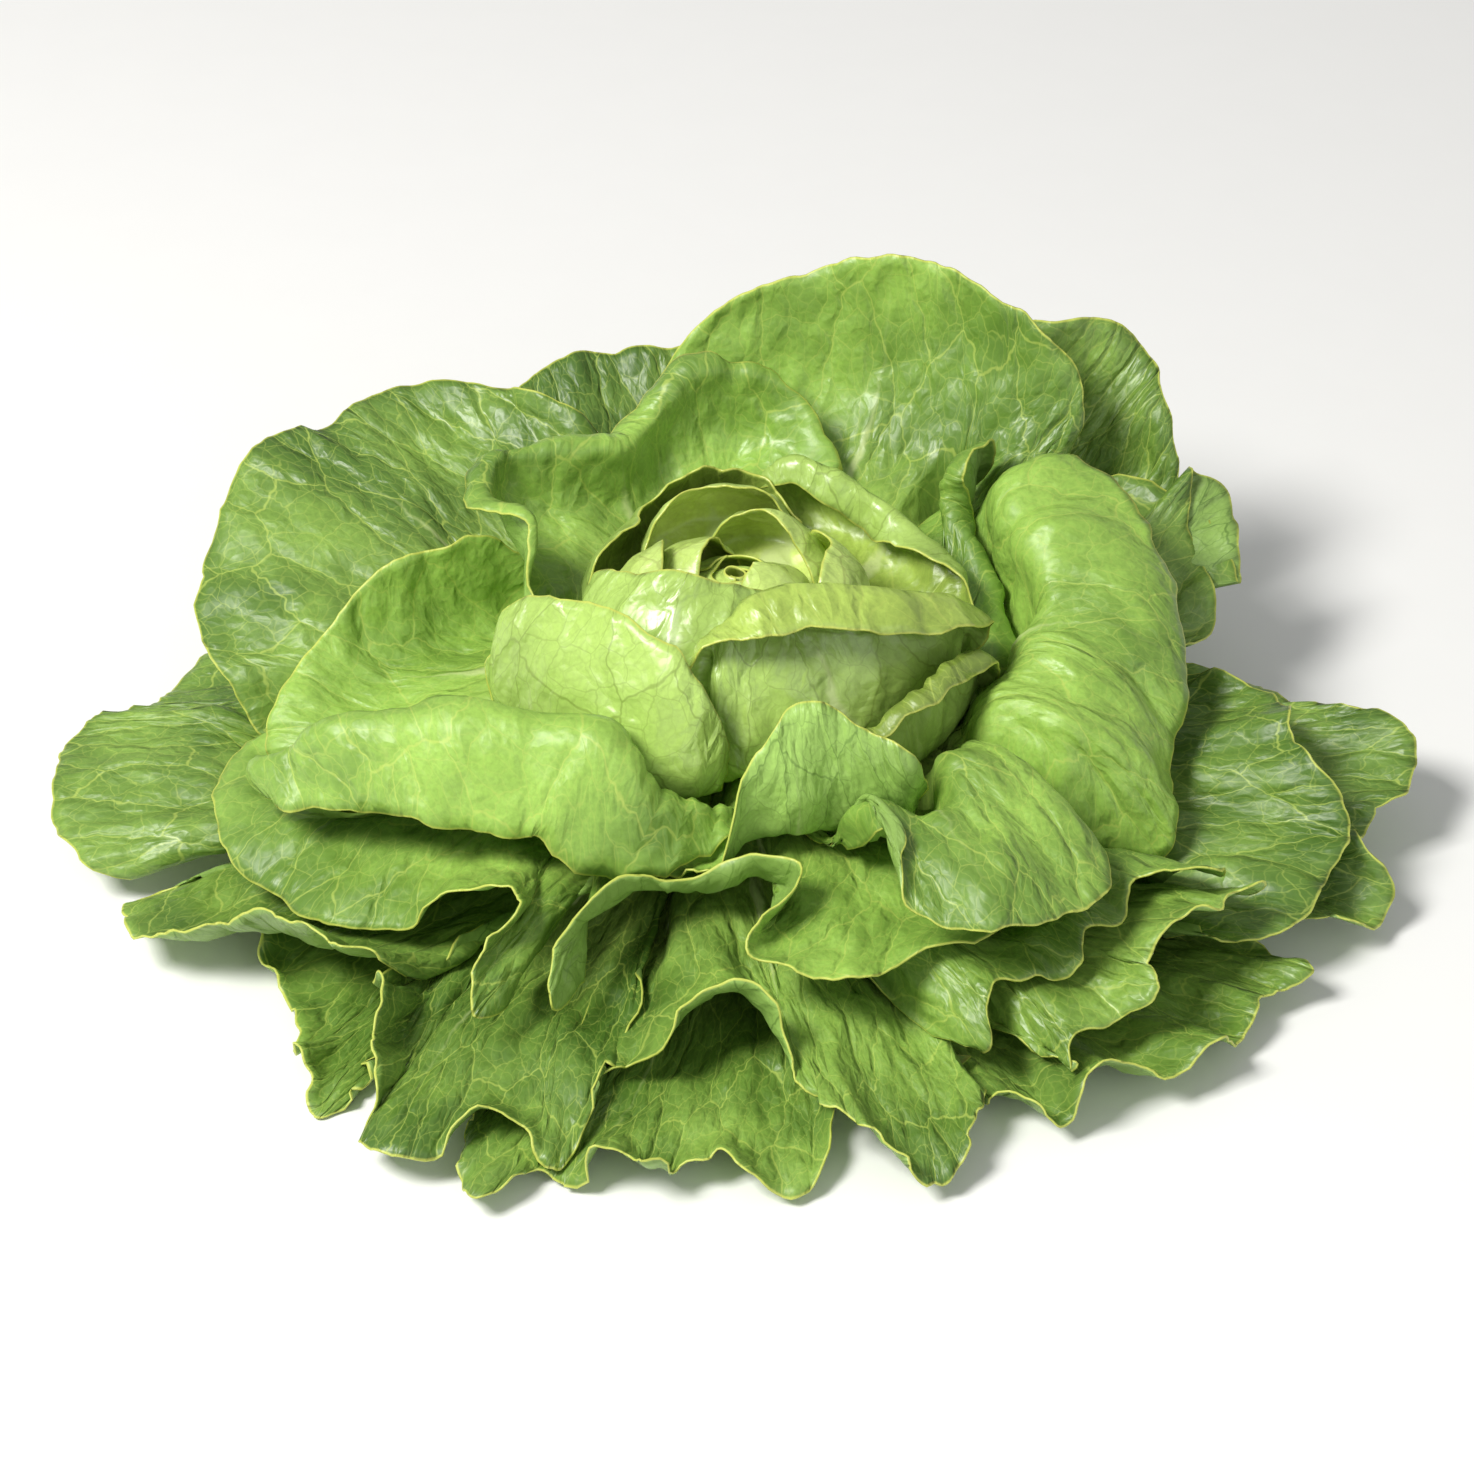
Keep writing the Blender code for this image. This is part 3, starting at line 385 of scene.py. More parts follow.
def with_lip(points, lip):
    """Rows added beyond the rim: each turned further outwards than the last over the first part, the
    roll, and straight on beyond it."""
    columns = points.shape[0]
    width, turn = np.moveaxis(through(lip, np.linspace(0, 1, columns)), -1, 0)
    width = np.maximum(width, LEAST_LIP)
    along = unit(np.gradient(points[:, -1], axis=0))
    out = points[:, -1] - points[:, -2]
    out = unit(out - along * (out * along).sum(-1, keepdims=True))
    across = np.cross(along, out)
    if (across[columns // 2] * points[columns // 2, -1])[:2].sum() < 0:
        across = -across
    out, across = evened(out, LIP_SOFT), evened(across, LIP_SOFT)
    rows = LIP_ROWS * 2
    row, added = points[:, -1], [points]
    for k in range(rows):
        bend = np.radians(turn * min(1, (k + TURN_LEAD) / (rows * ROLL_SHARE)))[:, None]
        row = row + (out * np.cos(bend) + across * np.sin(bend)) * (width / rows)[:, None]
        added.append(row[:, None])
    return np.concatenate(added, 1)


def resampled(grid, columns, rows):
    """The grid read at more columns, and at rows an even walk apart, along smooth curves through its
    points."""
    walked = lengths(grid, 1)
    share = (walked / walked[:, -1:]).mean(0)
    places = np.interp(np.linspace(0, 1, rows), share, np.linspace(0, 1, len(share)))
    wide = through(grid, np.linspace(0, 1, columns))
    return np.swapaxes(through(np.swapaxes(wide, 0, 1), places), 0, 1)


def filled(points, parts):
    """The grid with in-between points laid straight across its facets."""
    u = np.linspace(0, points.shape[0] - 1, (points.shape[0] - 1) * parts + 1)
    w = np.linspace(0, points.shape[1] - 1, (points.shape[1] - 1) * parts + 1)
    i, j = np.minimum(u.astype(int), points.shape[0] - 2), np.minimum(w.astype(int), points.shape[1] - 2)
    f, g = (u - i)[:, None, None], (w - j)[None, :, None]
    near = (1 - g) * points[np.ix_(i, j)] + g * points[np.ix_(i, j + 1)]
    far = (1 - g) * points[np.ix_(i + 1, j)] + g * points[np.ix_(i + 1, j + 1)]
    return (1 - f) * near + f * far


def cell_of(azimuth, reach):
    """Which cell of the map a place falls in."""
    i = np.floor((azimuth % 360) / AZIMUTH_CELL).astype(int) % AZIMUTH_CELLS
    j = np.clip(np.floor((reach - FIRST_REACH) / REACH_CELL).astype(int), 0, REACH_CELLS - 1)
    return i, j


def note_low_points(lowest, points, parts=3):
    """Enters a leaf's own lowest rise in each cell of the map."""
    azimuth, reach, rise = about_pivot(filled(points, parts))
    i, j = cell_of(azimuth, reach)
    np.minimum.at(lowest, (i.ravel(), j.ravel()), rise.ravel())


def widened(lowest):
    """The map with each cell as low as its neighbours."""
    wide = np.minimum(lowest, np.minimum(np.roll(lowest, 1, 0), np.roll(lowest, -1, 0)))
    out = wide.copy()
    out[:, 1:] = np.minimum(out[:, 1:], wide[:, :-1])
    out[:, :-1] = np.minimum(out[:, :-1], wide[:, 1:])
    return out


def softened(grid):
    """The grid averaged with its neighbours, twice as much weight on itself."""
    grid = np.pad(grid, 1, mode="edge")
    grid = (grid[:-2] + 2 * grid[1:-1] + grid[2:]) / 4
    return (grid[:, :-2] + 2 * grid[:, 1:-1] + grid[:, 2:]) / 4


def bent_clear(azimuth, reach, rise, lowest, low):
    """The rise lowered, softly, until the leaf lies a gap under the ones above it, and kept off
    the table by a low height and shallow waves."""
    limit = widened(lowest)
    for _ in range(BEND_ROUNDS):
        turn, out, up = about_pivot(from_pivot(azimuth, reach, rise))
        room = limit[cell_of(turn, out)] - np.degrees(LEAF_GAP / np.maximum(out, LEAF_ROOT))
        over = np.maximum(0, up - room)
        if over.max() < BEND_LEAST:
            break
        lowered = over
        for _ in range(BEND_SOFT):
            lowered = np.maximum(over, softened(lowered))
        rise = rise - lowered
    turn, walk = np.radians(azimuth), reach / WAVE_REACH
    waves = TABLE_WAVE * (1 + np.sin(walk * np.sin(turn)) * np.cos(walk * np.cos(turn)))
    floor = np.degrees(np.arcsin(np.clip((low + waves - PIVOT_HEIGHT) / reach, -1, 1)))
    return np.maximum(rise, floor)


# The middle surfaces, once they are made
bent = {}


def bent_leaves():
    """The middle surface of every leaf by name, bent from the inside of the head outwards."""
    if bent:
        return bent
    lowest = np.full((AZIMUTH_CELLS, REACH_CELLS), STRAIGHT_UP)
    bent["heart"] = []
    for leaf in HEART_LEAVES:
        points = from_pivot(*spread(leaf, *HEART_GRID, HEART_ROOT))
        note_low_points(lowest, points)
        bent["heart"].append(points)
    for leaf in LEAVES:
        azimuth, reach, rise = spread(leaf, BEND_COLUMNS, BEND_ROWS, LEAF_ROOT)
        rise = fluted(leaf, azimuth, reach, rise, len(bent))
        rise = bent_clear(azimuth, reach, rise, lowest, leaf.get("low", TABLE_CLEARANCE))
        points = from_pivot(azimuth, reach, rise)
        if "lip" in leaf:
            points = with_lip(points, leaf["lip"])
        note_low_points(lowest, points)
        bent[leaf["name"]] = points
    return bent


def wound_leaf(share, start):
    """A small leaf wound a little over once round the growing tip: the tip's side at a share of its
    radius, drawn in a little more towards where the winding starts."""
    radius, height = np.array(CORE_SIDE[::-1]).T
    along = np.linspace(0, 1, WIND_COLUMNS)[:, None]
    turn = np.radians(start) + 2 * np.pi * CORE_TURNS * along
    radius = radius * share * (1 - CORE_TIGHTER * (1 - along))
    return np.stack([radius * np.sin(turn), -radius * np.cos(turn), height + 0 * turn], -1)


def wavy(x, y, seed):
    """Smooth noise from -1 to 1: random values on a square lattice, blended by an eased mix."""
    lattice = np.random.default_rng(seed).uniform(-1, 1, (LATTICE, LATTICE))
    i, j = np.floor(x).astype(int), np.floor(y).astype(int)
    f, g = x - i, y - j
    f, g = f * f * (3 - 2 * f), g * g * (3 - 2 * g)
    i, j, i2, j2 = (k % LATTICE for k in (i, j, i + 1, j + 1))
    near = lattice[i, j] * (1 - g) + lattice[i, j2] * g
    return near * (1 - f) + (lattice[i2, j] * (1 - g) + lattice[i2, j2] * g) * f


def two_waves(x, y, waves, seed):
    """Wide noise and a share of finer noise, moved aside by a shift so that they don't line up."""
    (wide_x, wide_y), (fine_x, fine_y), shift = waves
    fine = wavy(x / fine_x + shift[0], y / fine_y + shift[1], seed + 1)
    return wavy(x / wide_x, y / wide_y, seed) + FINER_SHARE * fine


def lengths(points, axis):
    """Length walked along the grid's lines of one axis, from 0."""
    step = np.linalg.norm(np.diff(points, axis=axis), axis=-1)
    return np.insert(np.cumsum(step, axis=axis), 0, 0, axis=axis)


class Blade:
    """A leaf's fine grid: points, upper normals, thickness, flat coordinates and distance to the margin."""

    def __init__(self, surface, shape, seed, rows, frill=1.0, swell=1.0):
        rim = np.linalg.norm(np.diff(surface[:, -1], axis=0), axis=-1).sum()
        columns = int(np.clip(rim / (shape.spacing / MM), LEAST_COLUMNS, MOST_COLUMNS))
        mid = resampled(surface, columns, rows)
        if (self.normals(mid)[:, 1:6] * self.upwards(mid)[:, 1:6]).sum() < 0:
            mid = mid[::-1]
        self.lay_flat(mid, rim)
        mid = mid + self.normals(mid) * self.heights(shape, seed, frill, swell)[..., None]
        mid = self.notched(mid, shape.notch / MM * frill, seed)
        mid[..., 2] = np.maximum(mid[..., 2], LEAST_MIDDLE)
        self.mid, self.normal = mid, self.normals(mid)
        self.thick = self.thickness(shape)

    def lay_flat(self, mid, rim):
        """Walks along the grid, distances to the rim and the sides, and the flat leaf: a fan of spokes
        as wide at the rim as the leaf is."""
        self.out = lengths(mid, 1)
        self.across = lengths(mid, 0)
        self.to_rim = self.out[:, -1:] - self.out
        self.to_side = np.minimum(self.across, self.across[-1:] - self.across)
        self.edge = np.minimum(self.to_rim, self.to_side)
        self.walk = self.across[:, -1:] + 0 * self.out
        radius = LEAF_ROOT + self.out
        turn = (np.linspace(-0.5, 0.5, len(mid)) * rim / radius[:, -1].mean())[:, None]
        self.x, self.y = radius * np.sin(turn), radius * np.cos(turn)
        self.way = self.out / self.out[:, -1:]

    def heights(self, shape, seed, frill, swell):
        """How far the blade stands off its middle surface: folds that fade away from the margin, bulges
        that fade towards it, and blisters, all noise on the flat leaf."""
        fold = two_waves(self.walk, self.out, FOLD_WAVES, seed)
        near_rim = np.exp(-self.edge / FOLD_FADE) * np.clip(self.way * 2 - 0.4, 0, 1)
        height = shape.frill / MM * frill * fold * near_rim
        inner = np.clip(self.way * 3 - 0.5, 0, 1) * (1 - np.exp(-self.edge / SWELL_FADE))
        bulge = shape.swell / MM * swell
        height = height + bulge * inner * self.noise(SWELL_WAVE, seed + 2)
        height = height + bulge * FINE_SWELL * inner * self.noise(FINE_SWELL_WAVE, seed + 3)
        return height + shape.blister / MM * self.noise(BLISTER_WAVE, seed + 4) * np.clip(self.way * 3, 0, 1)

    def notched(self, mid, depth, seed):
        """The points pushed outwards at the rim and sideways at the sides by noise, less with the
        distance to the margin."""
        notch = two_waves(self.walk, 0 * self.walk, NOTCH_WAVES, seed + 5)
        outward = unit(np.gradient(mid, axis=1))
        mid = mid + outward * (depth * notch * np.exp(-self.to_rim / NOTCH_FADE))[..., None]
        side = np.where(self.across > self.across[-1:] / 2, 1, -1)[..., None]
        sideways = unit(np.gradient(mid, axis=0)) * side
        notch = two_waves(self.out, 0 * self.walk, NOTCH_WAVES, seed + 7)
        return mid + sideways * (depth * notch * np.exp(-self.to_side / NOTCH_FADE) * self.way)[..., None]

    def thickness(self, shape):
        """The margin's thickness growing to the blade's away from it, and a rib that narrows outwards."""
        margin, blade = shape.margin / MM, shape.blade / MM
        thick = margin + (blade - margin) * (1 - np.exp(-self.edge / THIN_FADE))
        half_width = RIB_HALF_WIDTH + RIB_SPREAD * (1 - self.way)
        return thick + shape.rib / MM * np.exp(-(self.x / half_width) ** 2) * (1 - self.way) ** 1.5

    def noise(self, size, seed):
        """Noise of one size on the flat leaf."""
        return wavy(self.x / size[0], self.y / size[1], seed)

    @staticmethod
    def normals(points):
        """The cross product of the grid's two directions."""
        return unit(np.cross(np.gradient(points, axis=0), np.gradient(points, axis=1)))

    @staticmethod
    def upwards(points):
        """Direction in which the rise about the pivot grows."""
        azimuth, _, rise = about_pivot(points)
        turn, up = np.radians(azimuth), np.radians(rise)
        return np.stack([-np.sin(up) * np.sin(turn), np.sin(up) * np.cos(turn), np.cos(up)], -1)


def wall_faces(columns, rows, first):
    """Faces of a closed sheet: an upper grid, an under grid turned over, and four strips between them."""
    index = first + np.arange(columns * rows).reshape(columns, rows)
    under = index + columns * rows
    a, b, c, d = index[:-1, :-1], index[1:, :-1], index[1:, 1:], index[:-1, 1:]
    e, f, g, h = under[:-1, :-1], under[1:, :-1], under[1:, 1:], under[:-1, 1:]
    faces = [np.stack([a, b, c, d], -1).reshape(-1, 4), np.stack([e, h, g, f], -1).reshape(-1, 4)]
    ring = np.concatenate([index[:, 0], index[-1, 1:], index[::-1, -1][1:], index[0, ::-1][1:]])
    low = ring + columns * rows
    faces.append(np.stack([ring[:-1], low[:-1], low[1:], ring[1:]], -1))
    return faces


def piece_from_blades(name, blades, tones_and_light):
    """One mesh of closed sheets: the middle surface moved half the thickness each way along its normal."""
    points, faces, sides, uv, edge, way, tone = [], [], [], [], [], [], []
    first = 0
    for blade, light in zip(blades, tones_and_light):
        half = blade.normal * blade.thick[..., None] / 2
        under = blade.mid - half
        under[..., 2] = np.maximum(under[..., 2], LEAST_UNDER)
        points += [(blade.mid + half).reshape(-1, 3), under.reshape(-1, 3)]
        for k, part in enumerate(wall_faces(*blade.mid.shape[:2], first)):
            faces.append(part)
            sides.append(np.full(len(part), int(k == 1)))
        flat = np.stack([blade.x, blade.y], -1).reshape(-1, 2) / UV_UNIT
        uv += [flat, flat]
        edge += [blade.edge.ravel()] * 2
        way += [blade.way.ravel()] * 2
        tone += [np.full(blade.edge.size * 2, light)]
        first += blade.edge.size * 2
    points, faces, sides = np.concatenate(points) * MM, np.concatenate(faces), np.concatenate(sides)
    mesh = bpy.data.meshes.new(name)
    mesh.vertices.add(len(points))
    mesh.vertices.foreach_set("co", points.ravel())
    mesh.loops.add(faces.size)
    mesh.loops.foreach_set("vertex_index", faces.ravel())
    mesh.polygons.add(len(faces))
    mesh.polygons.foreach_set("loop_start", np.arange(len(faces)) * 4)
    mesh.polygons.foreach_set("material_index", sides)
    mesh.polygons.foreach_set("use_smooth", np.ones(len(faces), bool))
    mesh.uv_layers.new(name="leaf").data.foreach_set("uv", np.concatenate(uv)[faces.ravel()].ravel())
    for label, parts in (("edge", edge), ("way", way), ("tone", tone)):
        values = np.concatenate(parts).astype(np.float32)
        mesh.attributes.new(label, 'FLOAT', 'POINT').data.foreach_set("value", values)
    mesh.update(calc_edges=True)
    mesh.validate()
    obj = bpy.data.objects.new(name, mesh)
    bpy.context.scene.collection.objects.link(obj)
    return obj


# Materials

# Cells of the veins across and along one unit of the flat leaf, how far noise moves them, and the
# distances from their borders between which a vein's line fades, in cells
MAIN_CELLS, FORK_CELLS, NET_CELLS = (6.5, 3.6), (15.0, 10.0), (34.0, 27.0)
MAIN_LINE, FORK_LINE, NET_LINE = (0.004, 0.018), (0.006, 0.026), (0.01, 0.09)
VEIN_DRIFT = 0.055
# Half width of the middle rib at the root and of its soft edge, on the flat leaf
RIB_AT_ROOT, RIB_SOFT = 0.045, 0.008
# The tone that leaves the patches as they are, and how far a tone shifts them lighter or darker, as partly
# painted light and shade
MIDDLE_TONE_AND_LIGHT, TONE_AND_LIGHT_REACH = 0.4, 0.35
# Gloss of the wet inner leaves and of the drier outer ones
WET = dict(smooth=0.28, rough=0.44, coat=0.2, specular=0.7)
DRY = dict(smooth=0.38, rough=0.54, coat=0.05, specular=0.6)
COAT_ROUGHNESS = 0.22
# Depth of relief in metres
LEAF_RELIEF, STEM_RELIEF, FLOOR_RELIEF = 0.0006, 0.0005, 0.00001
# Heights in metres between which the stem's skin takes over from the cut face
CUT_EDGE = 0.0006, 0.0016


class Recipe:
    """A material's node tree, built a node at a time."""

    def __init__(self, name):
        self.material = bpy.data.materials.new(name)
        self.material.use_nodes = True
        self.tree = self.material.node_tree
        self.shader = self.tree.nodes["Principled BSDF"]

    def node(self, kind, inputs=None, **settings):
        """Adds a node, sets it, and links or fills its inputs."""
        made = self.tree.nodes.new(kind)
        for key, value in settings.items():
            setattr(made, key, value)
        for key, value in (inputs or {}).items():
            if isinstance(value, bpy.types.NodeSocket):
                self.tree.links.new(value, made.inputs[key])
            else:
                made.inputs[key].default_value = value
        return made

    def math(self, operation, a, b=0.0, c=0.0):
        """One step of arithmetic."""
        return self.node("ShaderNodeMath", {0: a, 1: b, 2: c}, operation=operation).outputs[0]

    def part(self, value, share):
        """A share of a value."""
        return self.math('MULTIPLY', value, share)

    def ramp(self, value, low, high, to_low=0.0, to_high=1.0):
        """The value eased from one range to another and held at its ends."""
        return self.node("ShaderNodeMapRange", {"Value": value, "From Min": low, "From Max": high,
                                                "To Min": to_low, "To Max": to_high},
                         interpolation_type='SMOOTHSTEP').outputs[0]

    def mix(self, share, a, b):
        """Two colours mixed by a share."""
        a = a if isinstance(a, bpy.types.NodeSocket) else (*a, 1)
        b = b if isinstance(b, bpy.types.NodeSocket) else (*b, 1)
        return self.node("ShaderNodeMix", {0: share, 6: a, 7: b}, data_type='RGBA').outputs[2]

    def noise(self, vector, scale, detail=2.0, roughness=0.5):
        """Soft noise from 0 to 1."""
        return self.node("ShaderNodeTexNoise", {"Vector": vector, "Scale": scale, "Detail": detail,
                                                "Roughness": roughness}).outputs[0]

    def stretched(self, vector, x, y):
        """A flat position with each axis scaled."""
        return self.node("ShaderNodeMapping", {"Vector": vector, "Scale": (x, y, 1)}).outputs[0]

    def cells(self, vector):
        """Distance to the edge of random cells, one cell a unit."""
        return self.node("ShaderNodeTexVoronoi", {"Vector": vector, "Scale": 1.0},
                         feature='DISTANCE_TO_EDGE', voronoi_dimensions='2D').outputs["Distance"]

    def value(self, name):
        """A float attribute of the mesh."""
        return self.node("ShaderNodeAttribute", attribute_name=name).outputs["Fac"]

    def finish(self, colour, roughness, height, depth, specular=0.5):
        """Links colour, roughness and bump to the shader."""
        self.tree.links.new(colour, self.shader.inputs["Base Color"])
        self.tree.links.new(roughness, self.shader.inputs["Roughness"])
        bump = self.node("ShaderNodeBump", {"Height": height, "Strength": 1.0, "Distance": depth})
        self.tree.links.new(bump.outputs[0], self.shader.inputs["Normal"])
        self.shader.inputs["Specular IOR Level"].default_value = specular
        return self.material


def shade(colour, share):
    """A colour made darker or lighter by a share."""
    return tuple(min(1.0, c * share) for c in colour)


def blend_colours(a, b, share):
    """A colour part of the way from one to another."""
    return tuple(x + (y - x) * share for x, y in zip(a, b))


def vein_cells(m, flat):
    """The flat leaf moved about by noise, and on it the distances to the borders of three sets of
    random cells: long ones for the main veins, then those that fork, then the net between."""
    drift = m.node("ShaderNodeTexNoise", {"Vector": flat, "Scale": 9.0, "Detail": 3.0, "Roughness": 0.55},
                   noise_dimensions='2D').outputs["Color"]
    drift = m.node("ShaderNodeVectorMath", {0: drift, 1: (-0.5, -0.5, -0.5)}, operation='ADD').outputs[0]
    drift = m.node("ShaderNodeVectorMath", {0: drift, "Scale": VEIN_DRIFT}, operation='SCALE').outputs[0]
    moved = m.node("ShaderNodeVectorMath", {0: flat, 1: drift}, operation='ADD').outputs[0]
    return moved, [m.cells(m.stretched(moved, *size)) for size in (MAIN_CELLS, FORK_CELLS, NET_CELLS)]


def face_colours(colour, colours, upper):
    """Dark and light patches, the part near the root, and the veins with their strength; on an underside the
    veins are painted shade, darker than the blade.
    """
    if upper:
        light = blend_colours(shade(colour, 1.25), colours.heart, 0.22)
        return shade(colour, 0.58), light, blend_colours(colour, colours.heart, 0.55), colours.vein, 0.5
    base = blend_colours(colour, colours.under, 0.55)
    young = blend_colours(base, colours.heart, 0.3)
    # An underside's veins are painted shade: a darker copy of the leaf's green.
    return shade(base, 0.78), shade(base, 1.2), young, shade(colour, 0.55), 0.6


def leaf_face(name, colour, colours, upper, gloss):
    """One face of a leaf. Veins are the borders of random cells on the flat leaf, and the blade puffs
    up inside them, or sinks on an underside; a middle rib narrows outwards."""
    m = Recipe(name)
    flat = m.node("ShaderNodeUVMap", uv_map="leaf").outputs[0]
    place = m.node("ShaderNodeTexCoord").outputs["Object"]
    edge, way, tone = m.value("edge"), m.value("way"), m.value("tone")
    moved, (main, fork, net) = vein_cells(m, flat)
    dark, light, young, vein_colour_and_shade, strength = face_colours(colour, colours, upper)
    across = m.math('ABSOLUTE', m.node("ShaderNodeSeparateXYZ", {0: moved}).outputs[0])
    rib = m.ramp(m.math('SUBTRACT', across, m.ramp(way, 0.0, 0.8, RIB_AT_ROOT, 0.0)), -RIB_SOFT, RIB_SOFT,
                 1.0, 0.0)
    rib = m.math('MULTIPLY', rib, m.ramp(way, 0.35, 0.95, 1.0, 0.15))

    patches, grain = m.noise(place, 28.0, 4.0, 0.6), m.noise(place, 900.0, 2.0, 0.6)
    # The leaf's tone moves its patches lighter or darker: partly its own green, partly painted light and
    # shade.
    lift = m.part(m.math('SUBTRACT', tone, MIDDLE_TONE_AND_LIGHT), TONE_AND_LIGHT_REACH)
    body = m.mix(m.ramp(m.math('ADD', patches, lift), 0.32, 0.72), dark, light)
    body = m.mix(m.ramp(way, 0.0, 0.75, 0.7, 0.0), body, young)
    body = m.mix(m.part(m.ramp(grain, 0.35, 0.7), 0.22), body, shade(dark, 0.8))
    # Vein lines: a paler colour on an upper face, painted shade on an underside.
    for cells, line, share in ((net, NET_LINE, 0.16), (fork, FORK_LINE, strength * 0.6),
                               (main, MAIN_LINE, strength)):
        body = m.mix(m.part(m.ramp(cells, *line, 1.0, 0.0), share), body, vein_colour_and_shade)
    body = m.mix(m.part(rib, 0.8), body, blend_colours(colours.vein, colours.stem, 0.6))
    rim_width = m.math('MULTIPLY_ADD', m.noise(place, 380.0, 2.0), 0.8, 0.35)
    border = m.part(m.ramp(m.math('DIVIDE', edge, rim_width), 0.1, 0.8, 1.0, 0.0), 0.85)
    body = m.mix(border, body, colours.margin)

    puff = m.math('ADD', m.part(m.ramp(fork, 0.0, 0.5), 0.55), m.part(m.ramp(net, 0.0, 0.6), 0.16))
    puff = m.math('ADD', puff, m.part(m.ramp(main, 0.0, 0.16), 0.6))
    puff = m.part(puff, 1.0 if upper else -1.0)
    height = m.math('ADD', puff, m.part(m.noise(place, 190.0, 2.0, 0.45), 0.22))
    height = m.math('ADD', height, m.part(grain, 0.05))
    rough = m.ramp(m.noise(place, 60.0, 3.0), 0.3, 0.7, gloss["smooth"], gloss["rough"])
    m.shader.inputs["Coat Weight"].default_value = gloss["coat"]
    m.shader.inputs["Coat Roughness"].default_value = COAT_ROUGHNESS
    return m.finish(body, rough, height, LEAF_RELIEF, gloss["specular"])


def stem_skin(colours):
    """Pale skin with long fibres, browned on the cut face and ringed by old leaf scars."""
    m = Recipe("stem_skin")
    place = m.node("ShaderNodeTexCoord").outputs["Object"]
    up = m.node("ShaderNodeSeparateXYZ", {0: place}).outputs[2]
    drawn = m.node("ShaderNodeMapping", {"Vector": place, "Scale": (1, 1, 0.15)}).outputs[0]
    fibre = m.noise(drawn, 420.0, 4.0, 0.6)
    scar = m.node("ShaderNodeTexWave", {"Vector": place, "Scale": 60.0, "Distortion": 4.0, "Detail": 2.0},
                  bands_direction='Z').outputs[1]
    body = m.mix(m.ramp(fibre, 0.3, 0.7), shade(colours.stem, 0.8), shade(colours.stem, 1.15))
    body = m.mix(m.part(m.ramp(scar, 0.75, 0.95), 0.4), body, shade(colours.cut, 0.8))
    cut = m.mix(m.noise(place, 300.0, 5.0, 0.65), shade(colours.cut, 0.55), shade(colours.cut, 1.3))
    body = m.mix(m.ramp(up, *CUT_EDGE, 1.0, 0.0), body, cut)
    rough = m.ramp(fibre, 0.2, 0.8, 0.5, 0.75)
    return m.finish(body, rough, m.math('ADD', fibre, m.part(scar, 0.5)), STEM_RELIEF, 0.35)


def floor_paint(colour):
    """Smooth pale floor with a trace of grain."""
    m = Recipe("pale_floor")
    place = m.node("ShaderNodeTexCoord").outputs["Object"]
    grain = m.noise(place, 60.0, 3.0)
    body = m.mix(m.ramp(grain, 0.3, 0.7), shade(colour, 0.995), colour)
    return m.finish(body, m.ramp(grain, 0.3, 0.7, 0.85, 0.9), grain, FLOOR_RELIEF, 0.1)


# Operators


def plain_colours(group):
    """The colours as plain tuples."""
    return SimpleNamespace(**{name: tuple(getattr(group, name)) for name in group.__annotations__})


def leaf_materials(kind):
    """Upper and under faces of one kind of leaf, made once."""
    colours = bpy.context.scene.lettuce_colours
    names = [kind + "_leaf_upper", kind + "_leaf_under"]
    gloss = WET if kind in ("heart", "wrapper") else DRY
    return [bpy.data.materials.get(name) or
            leaf_face(name, tuple(getattr(colours, kind)), plain_colours(colours), k == 0, gloss)
            for k, name in enumerate(names)]


def dress(obj, kind, node):
    """Gives a piece its materials and body, and hides the frame's node that it stands in for."""
    for material in leaf_materials(kind):
        obj.data.materials.append(material)
    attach(obj, BODY)
    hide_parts(node)


def make_leaves(kind):
    """Every leaf of one kind, each in place of the frame's leaf of that name."""
    shape = bpy.context.scene.lettuce_shape
    for number, leaf in enumerate(LEAVES):
        if leaf["name"].startswith(kind):
            blade = Blade(bent_leaves()[leaf["name"]], shape, LEAF_SEED + number * SEED_STEP, BLADE_ROWS,
                          leaf.get("frill", 1.0), leaf.get("swell", 1.0))
            dress(piece_from_blades(leaf["name"] + "_blade", [blade], [leaf["tone"]]), kind, leaf["name"])


class LETTUCE_OT_stem(bpy.types.Operator):
    """Finish the cut stem"""
    bl_idname = "lettuce.stem"
    bl_label = "Stem"

    def execute(self, context):
        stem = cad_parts["stem"]
        stem.data.materials.clear()
        stem.data.materials.append(stem_skin(plain_colours(context.scene.lettuce_colours)))
        return {'FINISHED'}


class LETTUCE_OT_heart(bpy.types.Operator):
    """Make the heart's inner leaves"""
    bl_idname = "lettuce.heart"
    bl_label = "Heart"

    def execute(self, context):
        leaves = [(surface, HEART_SEED + SEED_STEP * k) for k, surface in enumerate(bent_leaves()["heart"])]
        leaves += [(wound_leaf(*wind), WIND_SEED + SEED_STEP * k) for k, wind in enumerate(CORE_WINDS)]
        blades = [Blade(surface, context.scene.lettuce_shape, seed, SMALL_ROWS, SMALL_FRILL, SMALL_SWELL)
                  for surface, seed in leaves]
        tones_and_light = [leaf["tone"] for leaf in HEART_LEAVES] + [1.0] * len(CORE_WINDS)
        dress(piece_from_blades("heart_leaves", blades, tones_and_light), "heart", "heart")
        return {'FINISHED'}


class LETTUCE_OT_wrappers(bpy.types.Operator):
    """Make the leaves folded over the heart"""
    bl_idname = "lettuce.wrappers"
    bl_label = "Wrapper leaves"

    def execute(self, context):
        make_leaves("wrapper")
        return {'FINISHED'}


